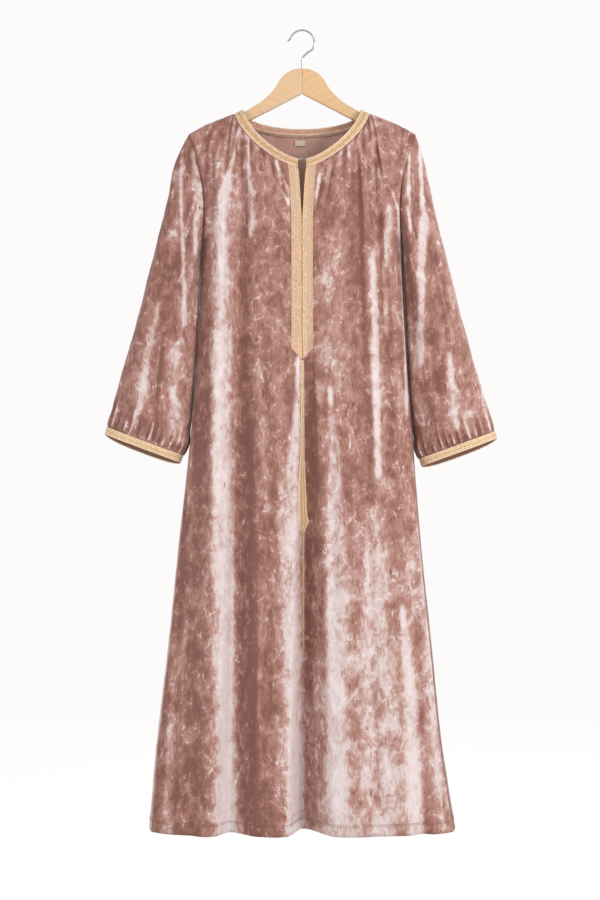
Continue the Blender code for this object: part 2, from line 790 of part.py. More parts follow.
def add_overlay(name, sheet, places, wall, turn, material, collection):
    """A piece on a panel: places holds a row and column of the panel's grid for each of its points."""
    surface_grid, normal_grid = sheet
    points = np.array([[between(surface_grid, *place) for place in row] for row in places])
    normals = np.array([[between(normal_grid, *place) for place in row] for row in places])
    normals /= np.linalg.norm(normals, axis=2, keepdims=True)
    lower = points + normals * OVERLAY_GAP
    upper = lower + normals * wall
    patch = Patch(name, upper, "braid", towards=normals.mean(axis=(0, 1)), turn=turn)
    obj = add_object(name, wall_mesh(name, upper, lower, patch), material, collection)
    obj.data.shade_smooth()


def row_at(height):
    """The row of the panel's grid at a height below the underarm."""
    depths = [-h for h in LOWER_HEIGHTS]
    return YOKE_ROWS + float(np.interp(-height, depths, range(len(depths))))


def add_placket(sheets, materials, collection):
    """Two strips of braid beside the slit, which meet below it and end in a point."""
    outer, _, normal = sheets["front"]
    middle = outer.shape[1] // 2 - 1
    straight = list(range(0, int(row_at(PLACKET_SQUARE_END)) + 1))
    for side, word in ((-1, "left"), (1, "right")):
        edge = middle if side < 0 else middle + 1
        columns = sorted(edge + side * n for n in range(PLACKET_COLUMNS + 1))
        places = [[(row, n) for n in columns] for row in straight]
        places[0] = [(PLACKET_TOP_ROW, n) for n in columns]
        slant = [1 - PLACKET_WIDTHS[PLACKET_COLUMNS - abs(n - edge)] / PLACKET_WIDTHS[0] for n in columns]
        slanted = [straight[-1] + mix(PLACKET_SLANT_ROW, 1.0, share) for share in slant]
        places.append(list(zip(slanted, columns)))
        turn = PLACKET_COLUMNS if side < 0 else 0
        name = "placket_" + word
        add_overlay(name, (outer, normal), places, OVERLAY_WALL, turn, materials["braid"], collection)


def add_centre_braid(sheets, materials, collection):
    outer, _, normal = sheets["front"]
    middle = outer.shape[1] // 2 - 0.5
    heights = set(column(CENTRE_BRAID, "height"))
    heights |= {h for h in LOWER_HEIGHTS if CENTRE_BRAID[-1].height < h < CENTRE_BRAID[0].height}
    places = []
    for height in sorted(heights, reverse=True):
        left, right = (
            float(np.interp(-height, [-b.height for b in CENTRE_BRAID], column(CENTRE_BRAID, edge)))
            for edge in ("left", "right")
        )
        row = row_at(height)
        level = int(row)
        columns = np.arange(middle - PLACKET_COLUMNS - 0.5, middle + PLACKET_COLUMNS + 1.5)
        across = [mix(outer[level, int(n), 0], outer[level + 1, int(n), 0], row - level) for n in columns]
        edges_and_cords = [mix(left, right, share) for share in BRAID_SHARES]
        places.append([(row, float(np.interp(x, across, columns))) for x in edges_and_cords])
    add_overlay("centre_braid", (outer, normal), places, OVERLAY_WALL, 1, materials["braid"], collection)


def add_tag(sheets, materials, collection):
    _, inner, normal = sheets["back"]
    middle = inner.shape[1] // 2
    across = inner[int(TAG_LEVELS[0]), :, 0]
    columns = [float(np.interp(x, across, range(len(across)))) for x in TAG_ACROSS]
    columns[1] = float(middle)
    places = [[(level, n) for n in columns] for level in TAG_LEVELS]
    add_overlay("size_tag", (inner, -normal), places, TAG_WALL, 1, materials["tag"], collection)


def add_wire(name, points, thickness, material, collection):
    data = bpy.data.curves.new(name, "CURVE")
    data.dimensions = "3D"
    data.bevel_depth = thickness / 2
    data.bevel_resolution = WIRE_RESOLUTION
    data.use_fill_caps = True
    spline = data.splines.new("POLY")
    spline.points.add(len(points) - 1)
    for place, point in zip(spline.points, points):
        place.co = (*point, 1.0)
    return add_object(name, data, material, collection)


def add_clasp(sheets, materials, collection):
    """A wire hook behind one end of the neck band and an eye behind the other, just short of each other."""
    for name, side, end in (("clasp_hook", 1, CLASP_HOOK_END), ("clasp_eye", -1, CLASP_EYE_END)):
        inner = sheets["neck_band_" + ("right" if side > 0 else "left")][1]
        behind = inner[:, -2:, 1].max() + OVERLAY_GAP + CLASP_WIRE / 2 + CLASP_SLACK
        top, low = CLASP_HEIGHTS
        bulge = (top - low) / 2
        points = [(side * CLASP_ROOT, behind, top)]
        for n in range(CLASP_BEND_STEPS + 1):
            angle = math.pi / 2 + math.pi * n / CLASP_BEND_STEPS
            x = end + bulge + bulge * math.cos(angle)
            points.append((side * x, behind, (top + low) / 2 + bulge * math.sin(angle)))
        points.append((side * CLASP_ROOT, behind, low))
        add_wire(name, points, CLASP_WIRE, materials["steel"], collection)


def wood_outline():
    """The hanger seen from the front, one half from the crown to the tip and back along the underside."""
    crown = list(WOOD_CROWN)
    beyond = [p.across for p in SHOULDER_LINE if p.across > WOOD_CROWN[-1].across]
    tip = WOOD_HALF - WOOD_BEVEL
    crown += [Point(x, shoulder_height(x) - WOOD_CLEARANCE) for x in beyond if x < tip]
    crown.append(Point(tip, shoulder_height(tip) - WOOD_CLEARANCE))
    upper = []
    for n in range(WOOD_STEPS + 1):
        x = tip * (n / WOOD_STEPS)
        upper.append((x, smooth(x, column(crown, "across"), column(crown, "height"))))
    lower = []
    for n in range(UNDERSIDE_STEPS):
        x = tip * (1 - n / UNDERSIDE_STEPS)
        lower.append((x, smooth(x, column(WOOD_UNDERSIDE, "across"), column(WOOD_UNDERSIDE, "height"))))
    lower.append((0.0, WOOD_UNDERSIDE[0].height))
    top, bottom = upper[-1][1], lower[0][1]
    middle, radius = (top + bottom) / 2, (top - bottom) / 2
    end = []
    for n in range(1, TIP_STEPS):
        angle = math.pi / 2 - math.pi * n / TIP_STEPS
        end.append((tip + radius * TIP_REACH * math.cos(angle), middle + radius * math.sin(angle)))
    half = upper + end + lower
    return half + [(-x, z) for x, z in reversed(half[1:-1])]


def add_hanger(materials, collection, cutters):
    mesh = bpy.data.meshes.new("hanger_wood")
    shape = bmesh.new()
    ring = [shape.verts.new((x, -WOOD_THICK / 2, z)) for x, z in wood_outline()]
    face = shape.faces.new(ring)
    raised = bmesh.ops.extrude_face_region(shape, geom=[face])
    moved = [item for item in raised["geom"] if isinstance(item, bmesh.types.BMVert)]
    bmesh.ops.translate(shape, verts=moved, vec=(0, WOOD_THICK, 0))
    bmesh.ops.recalc_face_normals(shape, faces=shape.faces)
    shape.to_mesh(mesh)
    shape.free()
    wood = add_object("hanger_wood", mesh, materials["wood"], collection)
    bevel = wood.modifiers.new("rounded edges", "BEVEL")
    bevel.width = WOOD_BEVEL
    bevel.segments = BEVEL_SEGMENTS
    bevel.angle_limit = math.radians(BEVEL_ANGLE)

    socket = bpy.data.meshes.new("hook_socket")
    shape = bmesh.new()
    depth = WOOD_CROWN[0].height - HOOK_SHANK_END + SOCKET_GAP
    radius = HOOK_WIRE / 2 + SOCKET_GAP
    bmesh.ops.create_cone(
        shape, cap_ends=True, segments=SOCKET_SIDES, radius1=radius, radius2=radius, depth=2 * depth
    )
    shape.to_mesh(socket)
    shape.free()
    cutter = add_object("hook_socket", socket, materials["wood"], cutters)
    cutter.location.z = WOOD_CROWN[0].height
    cutter.hide_render = True
    cutter.display_type = "WIRE"
    cut = wood.modifiers.new("hook socket", "BOOLEAN")
    cut.object = cutter
    cut.operation = "DIFFERENCE"

    centre = HOOK_WIRE / 2 - HOOK_RADIUS
    points = [(0.0, HOOK_SHANK_END)]
    points += [tuple(p) for p in HOOK_NECK]
    for n in range(HOOK_ARC_STEPS + 1):
        angle = math.radians(mix(*HOOK_ARC, n / HOOK_ARC_STEPS))
        points.append((HOOK_RADIUS * math.cos(angle), centre + HOOK_RADIUS * math.sin(angle)))
    points.append(tuple(HOOK_TIP))
    add_wire("hanger_hook", [(x, 0.0, z) for x, z in points], HOOK_WIRE, materials["steel"], collection)


def main():
    clear_scene()
    collection, cutters = make_collection("kaftan"), make_collection("cutters")
    materials = make_materials()
    patches = build_patches()
    sheets = add_walls(patches, materials, collection)
    add_placket(sheets, materials, collection)
    add_centre_braid(sheets, materials, collection)
    add_tag(sheets, materials, collection)
    add_clasp(sheets, materials, collection)
    add_hanger(materials, collection, cutters)


main()
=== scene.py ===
# %% [markdown]
# # A crushed-velvet kaftan on a wooden hanger
#
# A lesson in dressing a garment in Blender, one piece at a time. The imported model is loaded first: it
# fixes where every piece is. Each cloth piece is then made again as a finer, thinner shell on the same
# form, and gets the folds, braid and pile that the eye looks for.
#
# Lengths are in metres. +Z is up, the garment's front faces -Y, and the origin is inside the hanger's
# hook.

# %% The frame
import math
from collections import namedtuple

import bpy
import numpy as np
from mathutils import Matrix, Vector, noise


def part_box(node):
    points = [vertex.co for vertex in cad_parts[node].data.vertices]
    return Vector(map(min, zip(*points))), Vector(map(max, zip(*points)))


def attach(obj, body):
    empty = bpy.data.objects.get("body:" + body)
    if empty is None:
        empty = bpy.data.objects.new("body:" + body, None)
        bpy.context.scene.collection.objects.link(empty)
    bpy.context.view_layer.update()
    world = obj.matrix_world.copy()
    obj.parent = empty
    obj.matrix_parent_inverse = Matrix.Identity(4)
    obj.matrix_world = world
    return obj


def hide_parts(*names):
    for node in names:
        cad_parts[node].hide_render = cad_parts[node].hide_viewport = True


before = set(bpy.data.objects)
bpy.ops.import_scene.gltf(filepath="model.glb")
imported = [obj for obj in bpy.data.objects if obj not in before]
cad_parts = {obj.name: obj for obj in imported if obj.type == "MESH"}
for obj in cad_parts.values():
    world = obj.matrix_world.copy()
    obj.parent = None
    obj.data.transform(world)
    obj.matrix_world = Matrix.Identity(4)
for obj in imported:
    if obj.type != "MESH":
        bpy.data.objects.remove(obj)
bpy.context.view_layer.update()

# %% [markdown]
# ## The camera
#
# The picture was taken square on, from about three metres and level with the garment's middle. A lens of
# 65.6 mm on a 36 mm sensor takes in 1.65 m of height at that distance, so the whole garment fits with a
# little air.

# %% Camera
CAMERA_PLACE = (-0.0037, -3.0, -0.766)
LENS = 65.6

camera_data = bpy.data.cameras.new("camera")
camera_data.lens = LENS
camera_data.sensor_fit = "VERTICAL"
camera_data.sensor_height = 36.0
camera = bpy.data.objects.new("camera", camera_data)
camera.location = CAMERA_PLACE
camera.rotation_euler = (math.radians(90), 0, 0)
bpy.context.scene.collection.objects.link(camera)
bpy.context.scene.camera = camera
print("camera", camera.location[:], "lens", camera_data.lens)

# %% [markdown]
# ## The stage and the light
#
# A white studio sweep: one turned surface, a flat floor that curves up into a wall all round, so that
# there is no horizon from any side. It is turned with a Screw modifier from a profile, and it neither
# shades nor blocks the light. The key light is large and to the right, which is the side that the pile
# shines from, and a weaker one fills the left. The white sky gives the rest.

# %% Stage
FLOOR_HEIGHT = -1.95
SWEEP_FLAT = 5.0
SWEEP_CURVE = 2.5
SWEEP_TOP = 7.0
SWEEP_STEPS = 12

profile = [(0.0, FLOOR_HEIGHT), (SWEEP_FLAT, FLOOR_HEIGHT)]
for step in range(1, SWEEP_STEPS + 1):
    turn = math.pi / 2 * step / SWEEP_STEPS
    profile.append((
        SWEEP_FLAT + SWEEP_CURVE * math.sin(turn),
        FLOOR_HEIGHT + SWEEP_CURVE * (1 - math.cos(turn)),
    ))
profile.append((SWEEP_FLAT + SWEEP_CURVE, SWEEP_TOP))
sweep_mesh = bpy.data.meshes.new("studio_sweep")
sweep_mesh.from_pydata([(x, 0, z) for x, z in profile], [(n, n + 1) for n in range(len(profile) - 1)], [])
sweep = bpy.data.objects.new("studio_sweep", sweep_mesh)
bpy.context.scene.collection.objects.link(sweep)
turned = sweep.modifiers.new("turned", "SCREW")
turned.steps = turned.render_steps = 96
turned.use_merge_vertices = True
turned.use_smooth_shade = True
sweep.visible_shadow = False
sweep.visible_diffuse = False

paper = bpy.data.materials.new("studio paper")
paper.use_nodes = True
paper_shader = paper.node_tree.nodes["Principled BSDF"]
paper_shader.inputs["Base Color"].default_value = (0.16, 0.158, 0.157, 1)
paper_shader.inputs["Roughness"].default_value = 1.0
paper_shader.inputs["Specular IOR Level"].default_value = 0.0
paper_shader.inputs["Emission Color"].default_value = (1.0, 0.988, 0.986, 1)
paper_shader.inputs["Emission Strength"].default_value = 0.83
sweep_mesh.materials.append(paper)
print("sweep", round(SWEEP_FLAT + SWEEP_CURVE, 2), "m in radius")

# %% Light
SKY_STRENGTH = 0.85
Lamp = namedtuple("Lamp", "name place aim side watts colour")
LAMPS = [
    Lamp("key", (2.6, -2.4, 0.3), (0, 0, -0.7), 1.1, 62, (1.0, 0.98, 0.96)),
    Lamp("fill", (-2.6, -2.9, -0.2), (0, 0, -0.8), 2.0, 22, (0.97, 0.98, 1.0)),
    Lamp("back", (0.6, 3.2, 0.8), (0, 0, -0.8), 2.0, 40, (1.0, 0.99, 0.98)),
]

world = bpy.data.worlds.new("studio sky")
world.use_nodes = True
world.node_tree.nodes["Background"].inputs["Color"].default_value = (1.0, 0.99, 0.985, 1)
world.node_tree.nodes["Background"].inputs["Strength"].default_value = SKY_STRENGTH
bpy.context.scene.world = world
bpy.context.scene.view_settings.view_transform = "Standard"

for lamp in LAMPS:
    light = bpy.data.lights.new(lamp.name, "AREA")
    light.shape = "DISK"
    light.size = lamp.side
    light.energy = lamp.watts
    light.color = lamp.colour
    holder = bpy.data.objects.new(lamp.name, light)
    holder.location = lamp.place
    holder.rotation_euler = (Vector(lamp.aim) - Vector(lamp.place)).to_track_quat("-Z", "Y").to_euler()
    bpy.context.scene.collection.objects.link(holder)
print("lamps:", ", ".join(lamp.name for lamp in LAMPS))

# %% [markdown]
# ## Materials
#
# Each finish is a small tree of nodes. A helper adds a node and sets its sockets, so that each material
# reads as a list of what it is made from.

# %% Helpers for materials
def new_material(name, colour, roughness, metallic=0.0):
    material = bpy.data.materials.new(name)
    material.use_nodes = True
    shader = material.node_tree.nodes["Principled BSDF"]
    shader.inputs["Base Color"].default_value = (*colour, 1)
    shader.inputs["Roughness"].default_value = roughness
    shader.inputs["Metallic"].default_value = metallic
    return material, material.node_tree, shader


def add_node(tree, kind, sockets=(), **settings):
    made = tree.nodes.new(kind)
    for name, value in settings.items():
        setattr(made, name, value)
    for socket, value in dict(sockets).items():
        if isinstance(value, bpy.types.NodeSocket):
            tree.links.new(value, made.inputs[socket])
        else:
            made.inputs[socket].default_value = value
    return made


def attribute(tree, name):
    return add_node(tree, "ShaderNodeAttribute", attribute_name=name).outputs["Fac"]


def math_node(tree, operation, first, second=0.0, third=0.0):
    made = add_node(tree, "ShaderNodeMath", {0: first, 1: second, 2: third}, operation=operation)
    return made.outputs[0]


def ramp(tree, factor, stops, interpolation="LINEAR"):
    made = add_node(tree, "ShaderNodeValToRGB", {"Fac": factor})
    made.color_ramp.interpolation = interpolation
    points = made.color_ramp.elements
    while len(points) < len(stops):
        points.new(1.0)
    for point, (place, colour) in zip(points, stops):
        point.position = place
        point.color = (*colour, 1)
    return made.outputs["Color"]


def colour_by(tree, shader, factor, stops):
    tree.links.new(ramp(tree, factor, stops), shader.inputs["Base Color"])


def stretched(tree, scale=(1.0, 1.0, 1.0)):
    """Object coordinates, stretched by an amount for each axis."""
    place = add_node(tree, "ShaderNodeTexCoord").outputs["Object"]
    return add_node(tree, "ShaderNodeMapping", {"Vector": place, "Scale": scale}).outputs["Vector"]


def noise_node(tree, vector, scale, detail, roughness=0.5, distortion=0.0):
    sockets = {"Vector": vector, "Scale": scale, "Detail": detail, "Roughness": roughness,
               "Distortion": distortion}
    return add_node(tree, "ShaderNodeTexNoise", sockets).outputs["Fac"]


def add_bump(tree, shader, height, distance, strength=1.0):
    bump = add_node(tree, "ShaderNodeBump", {"Height": height, "Distance": distance, "Strength": strength})
    tree.links.new(bump.outputs["Normal"], shader.inputs["Normal"])

# %% [markdown]
# ## Crushed velvet
#
# Crushed velvet is pressed wet, so that its pile lies in patches, each leaning its own way. A patch that
# leans to the light is silvery, and one that leans away is deep rose. The colour therefore follows a
# value that the cloth carries at each point: partly how far the pile leans to the light, and partly
# painted light and shade, paler where folds and gathers turn to the key light and deeper in creases and
# at seams. Noise of several sizes breaks it up into torn upright patches, blotches, fine streaks, pale
# curled wisps and dark flecks, and a ramp turns the sum into colour. The sheen is the glow that the ends
# of the fibres give at a glancing angle.

# %% Velvet
VELVET_RAMP = [
    (0.04, (0.200, 0.082, 0.062)),
    (0.17, (0.272, 0.120, 0.092)),
    (0.29, (0.342, 0.165, 0.130)),
    (0.39, (0.407, 0.220, 0.183)),
    (0.50, (0.490, 0.316, 0.280)),
    (0.60, (0.585, 0.456, 0.432)),
    (0.76, (0.655, 0.550, 0.540)),
    (0.98, (0.720, 0.625, 0.616)),
]
PATCHES = 30.0
BLOTCHES = 85.0
STREAKS_OF_PILE = 420.0
WISPS = 46.0
FLECKS = 150.0
MIDDLE_LEAN = 0.81
PATCH_WEIGHT = 1.25
BLOTCH_WEIGHT = 0.62
STREAK_WEIGHT = 0.24
WISP_SHARPNESS = 40.0
WISP_WEIGHT = 1.6
WISPS_START = 0.42
FLECK_WEIGHT = -3.2
FLECKS_START = 0.66


def above(tree, value, start):
    """How far a value is above a start, and 0 below it."""
    return math_node(tree, "MAXIMUM", math_node(tree, "SUBTRACT", value, start), 0.0)


velvet, tree, shader = new_material("crushed velvet", (0.35, 0.17, 0.14), 0.62)
patches = noise_node(tree, stretched(tree, (1.0, 1.0, 0.60)), PATCHES, 8.0, 0.66, 0.9)
blotches = noise_node(tree, stretched(tree, (1.0, 1.0, 0.75)), BLOTCHES, 5.0, 0.60, 0.6)
fine_streaks = noise_node(tree, stretched(tree, (1.0, 1.0, 0.12)), STREAKS_OF_PILE, 1.0)
# The attribute read here is partly the pile's streaks and partly painted light and shade; lean adds the
# pile's noise to it.
lean = math_node(tree, "MULTIPLY_ADD", patches, PATCH_WEIGHT, attribute(tree, "pile_and_light"))
lean = math_node(tree, "MULTIPLY_ADD", blotches, BLOTCH_WEIGHT, lean)
lean = math_node(tree, "MULTIPLY_ADD", fine_streaks, STREAK_WEIGHT, lean)

wisp_noise = noise_node(tree, stretched(tree, (1.0, 1.0, 0.8)), WISPS, 3.0, 0.5, 0.5)
off_line = math_node(tree, "ABSOLUTE", math_node(tree, "SUBTRACT", wisp_noise, 0.5))
wisps = math_node(tree, "SMOOTH_MIN", math_node(tree, "MULTIPLY", off_line, WISP_SHARPNESS), 1.0, 0.2)
clusters = math_node(tree, "MULTIPLY", above(tree, blotches, WISPS_START), WISP_WEIGHT)
wisps = math_node(tree, "MULTIPLY", math_node(tree, "SUBTRACT", 1.0, wisps), clusters)
lean = math_node(tree, "ADD", wisps, lean)
fleck_noise = noise_node(tree, stretched(tree, (1.0, 1.0, 0.30)), FLECKS, 2.0, 0.5)
lean = math_node(tree, "MULTIPLY_ADD", above(tree, fleck_noise, FLECKS_START), FLECK_WEIGHT, lean)
lean = math_node(tree, "SUBTRACT", lean, MIDDLE_LEAN)
colour_by(tree, shader, lean, VELVET_RAMP)
shader.inputs["Specular IOR Level"].default_value = 0.25
shader.inputs["Sheen Weight"].default_value = 0.30
shader.inputs["Sheen Roughness"].default_value = 0.35
shader.inputs["Sheen Tint"].default_value = (0.95, 0.87, 0.86, 1)
crush = math_node(tree, "MULTIPLY_ADD", blotches, 0.5, patches)
add_bump(tree, shader, crush, 0.0016, 0.55)
print("velvet ramp", [stop[0] for stop in VELVET_RAMP])

# %% Velvet's reverse
# Inside, the velvet shows its plain knitted ground, which is matt and a little greyer.
reverse, tree, shader = new_material("velvet reverse", (0.37, 0.215, 0.175), 0.9)
ground = noise_node(tree, stretched(tree), 14.0, 3.0)
colour_by(tree, shader, ground, [(0.35, (0.480, 0.268, 0.212)), (0.65, (0.620, 0.385, 0.315))])
knit = {"Scale": 260.0, "Distortion": 0.4, "Vector": stretched(tree, (1.0, 1.0, 0.8))}
rows_of_knit = add_node(tree, "ShaderNodeTexWave", knit)
add_bump(tree, shader, rows_of_knit.outputs["Fac"], 0.0002, 0.4)
shader.inputs["Sheen Weight"].default_value = 0.15
# The cuff's inner side is much darker than the velvet's reverse: painted shade inside the sleeve's end.
inside_and_shade, tree, shader = new_material("cuff inside and shade", (0.250, 0.120, 0.075), 0.9)
weave = noise_node(tree, stretched(tree), 700.0, 2.0)
colour_by(tree, shader, weave, [(0.35, (0.190, 0.085, 0.050)), (0.65, (0.330, 0.160, 0.100))])
print("reverse and lining made")

# %% [markdown]
# ## Braid
#
# The trim is woven from flat gold and rose cords. The pieces carry two values: tone, the place across the
# braid, which picks the cord's colour; twist, which counts the turns of its plait along it. The real
# relief of the cords is in the mesh. A sine of the twist gives each cord its slanted stitches.

# %% Braid materials
GOLD = (0.700, 0.440, 0.215)
PALE_GOLD = (0.800, 0.600, 0.390)
BEIGE_GOLD = (0.660, 0.485, 0.355)
PINK_GOLD = (0.770, 0.555, 0.410)
OCHRE = (0.540, 0.310, 0.095)
ROSE_THREAD = (0.625, 0.400, 0.305)
FACING_ROSE = (0.66, 0.36, 0.26)
FACING_SHADE = (0.48, 0.29, 0.24)


def braid_material(name, cords):
    """A braid whose cords change colour across it. Each cord is where it starts and its colour."""
    material, tree, shader = new_material(name, GOLD, 0.42)
    across = ramp(tree, attribute(tree, "tone"), cords, "CONSTANT")
    turns = math_node(tree, "MULTIPLY", attribute(tree, "twist"), 2 * math.pi)
    stitch = math_node(tree, "MULTIPLY_ADD", math_node(tree, "SINE", turns), 0.5, 0.5)
    threads = noise_node(tree, stretched(tree), 360.0, 2.0)
    shade = math_node(tree, "MULTIPLY_ADD", stitch, 0.60, 0.10)
    shade = math_node(tree, "MULTIPLY_ADD", threads, 1.08, shade)
    shaded = add_node(tree, "ShaderNodeMix", data_type="RGBA", blend_type="MULTIPLY")
    shaded.inputs[0].default_value = 1.0
    tree.links.new(across, shaded.inputs[6])
    tree.links.new(shade, shaded.inputs[7])
    tree.links.new(shaded.outputs[2], shader.inputs["Base Color"])
    shader.inputs["Metallic"].default_value = 0.18
    shader.inputs["Sheen Weight"].default_value = 0.2
    add_bump(tree, shader, stitch, 0.0006, 0.7)
    return material


band_braid = braid_material("neck braid", [
    (0.0, PINK_GOLD), (0.20, GOLD), (0.36, BEIGE_GOLD), (0.44, OCHRE), (0.56, BEIGE_GOLD), (0.64, GOLD),
    (0.80, PINK_GOLD),
])
placket_braid = braid_material("placket braid", [
    (0.0, GOLD), (0.17, ROSE_THREAD), (0.27, BEIGE_GOLD), (0.34, ROSE_THREAD), (0.47, GOLD),
    (0.53, ROSE_THREAD), (0.66, BEIGE_GOLD), (0.73, ROSE_THREAD), (0.83, GOLD),
])
narrow_braid = braid_material("narrow braid", [
    (0.0, PALE_GOLD), (0.26, OCHRE), (0.36, PALE_GOLD), (0.64, OCHRE), (0.74, PALE_GOLD),
])
cuff_braid = braid_material("cuff braid", [
    (0.0, PALE_GOLD), (0.22, GOLD), (0.30, PALE_GOLD), (0.45, OCHRE), (0.55, PALE_GOLD), (0.70, GOLD),
    (0.78, PALE_GOLD),
])
facing_braid = braid_material("neck facing", [
    (0.0, PALE_GOLD), (0.18, FACING_ROSE), (0.60, PALE_GOLD), (0.76, FACING_SHADE),
])
braids = (band_braid, placket_braid, narrow_braid, cuff_braid, facing_braid)
print("braids:", ", ".join(material.name for material in braids))

# %% [markdown]
# ## The garment's form
#
# The cloth's form is worked out from a few tables: the line of the shoulders, sections of the body at
# several heights, the armhole, and the large folds. A smooth curve runs through each table. NumPy works
# on whole grids of points at once, so the same short formulas make fine meshes quickly.

# %% Curves
def table_curve(at, places, values):
    """A smooth curve through a table's values, flat outside it."""
    places, values = np.asarray(places, float), np.asarray(values, float)
    slopes = np.gradient(values, places)
    at = np.clip(at, places[0], places[-1])
    n = np.clip(np.searchsorted(places, at, side="right") - 1, 0, len(places) - 2)
    step = places[n + 1] - places[n]
    t = (at - places[n]) / step
    return (
        (2 * t**3 - 3 * t**2 + 1) * values[n]
        + (t**3 - 2 * t**2 + t) * step * slopes[n]
        + (3 * t**2 - 2 * t**3) * values[n + 1]
        + (t**3 - t**2) * step * slopes[n + 1]
    )


def ease(t):
    """0 before 0, 1 after 1, and smooth between."""
    t = np.clip(t, 0.0, 1.0)
    return t * t * (3 - 2 * t)


def mix(a, b, t):
    return a + (b - a) * t


def column(table, name):
    return [getattr(row, name) for row in table]


def distance_along(path):
    """Distance from the start of a path to each of its points."""
    return np.concatenate([[0.0], np.cumsum(np.linalg.norm(np.diff(path, axis=0), axis=-1))])


def point_at(at, places, path):
    """Points of a path whose own points lie at the places given."""
    return np.stack([np.interp(at, places, path[:, k]) for k in range(3)], axis=-1)

# %% Shoulder and neck
Point = namedtuple("Point", "across height")
NECK_TOP = Point(0.107, -0.144)
SHOULDER_TIP = Point(0.208, -0.1895)
SHOULDER_LINE = [
    Point(0.000, -0.1270), Point(0.060, -0.1330), NECK_TOP, Point(0.1225, -0.1515), Point(0.158, -0.1650),
    Point(0.190, -0.1790), SHOULDER_TIP,
]
BAND_OUTER_HALF = 0.1225
NECK_DROP = {"front": (0.098, 0.106), "back": (0.030, 0.0385)}
NECK_POWER = {"front": 1.5, "back": 2.0}


def shoulder_height(across):
    return table_curve(np.abs(across), column(SHOULDER_LINE, "across"), column(SHOULDER_LINE, "height"))


def neck_curve(face, row, across):
    """Height of the neck band's line: row 0 is its free edge and row 1 its seam."""
    half = mix(NECK_TOP.across, BAND_OUTER_HALF, row)
    share = np.minimum(np.abs(across) / half, 1.0)
    power = NECK_POWER[face]
    return shoulder_height(half) - mix(*NECK_DROP[face], row) * (1 - share**power) ** (1 / power)


print("neck drops", [round(float(neck_curve("front", row, 0.0)), 4) for row in (0.0, 1.0)])

# %% Body sections
Section = namedtuple("Section", "height left right front back seam")
BODY = [
    Section(-0.250, 0.181, 0.181, 0.0462, 0.0334, 1.000),
    Section(-0.385, 0.181, 0.181, 0.0470, 0.0340, 1.000),
    Section(-0.565, 0.190, 0.190, 0.0550, 0.0360, 0.986),
    Section(-0.729, 0.203, 0.202, 0.0600, 0.0370, 0.982),
    Section(-0.890, 0.221, 0.214, 0.0640, 0.0380, 0.980),
    Section(-1.132, 0.247, 0.239, 0.0690, 0.0400, 0.976),
    Section(-1.315, 0.269, 0.259, 0.0730, 0.0410, 0.974),
    Section(-1.456, 0.281, 0.282, 0.0760, 0.0420, 0.972),
]
UNDERARM = -0.385
HEM = BODY[-1].height
ROUNDNESS = 3.1
ROLL_DROP = 0.150
SEAM_EASE = 0.022
WOOD_COVER = 0.0121
WOOD_ROLL = 0.0075
WOOD_COVER_FADE = (0.040, 0.120)
COVER_BLEND = 4
Arm = namedtuple("Arm", "drop across")
ARMHOLE = [
    Arm(0.000, SHOULDER_TIP.across), Arm(0.016, 0.2000), Arm(0.058, 0.1885), Arm(0.084, 0.1820),
    Arm(0.125, 0.1770), Arm(SHOULDER_TIP.height - UNDERARM, 0.1810),
]
ARMHOLE_DEPTH = {"front": 0.034, "back": 0.026}
ARMHOLE_ROUND = 0.6
ARMHOLE_CALM = 2.0


def section(height, name):
    return table_curve(-height, [-row.height for row in BODY], column(BODY, name))


def half_width(side, height):
    drop = SHOULDER_TIP.height - height
    yoke = table_curve(drop, column(ARMHOLE, "drop"), column(ARMHOLE, "across"))
    below = section(height, "left" if side < 0 else "right")
    on_body = np.where(height > UNDERARM, yoke, below)
    return np.where(height > SHOULDER_TIP.height, SHOULDER_TIP.across, on_body)


def armhole_depth(face, height, away):
    """Depth of the armhole's seam, where away is 0, and of the calmer cloth beside it, where away is 1."""
    share = np.clip((SHOULDER_TIP.height - height) / (SHOULDER_TIP.height - UNDERARM), 0.0, 1.0)
    power = mix(ARMHOLE_ROUND, ARMHOLE_CALM, away)
    return ARMHOLE_DEPTH[face] * np.maximum(np.sin(math.pi * share), 0.0) ** power


print("half widths", [round(float(half_width(1, h)), 3) for h in (-0.25, -0.5, -1.0, HEM)])

# %% [markdown]
# ## Folds
#
# A hung garment falls in long soft folds from wherever it is held: the shoulders, the neck and the top of
# the slit. Each row of the table is one fold, a ridge or a trough that widens as it falls. The large ones
# are in the frame's solids too. The creases are shorter and sharper: drag lines that run to the placket,
# tucks under the shoulder seam, and the broken lines that crushing leaves. They are placed one by one,
# uneven as in cloth.

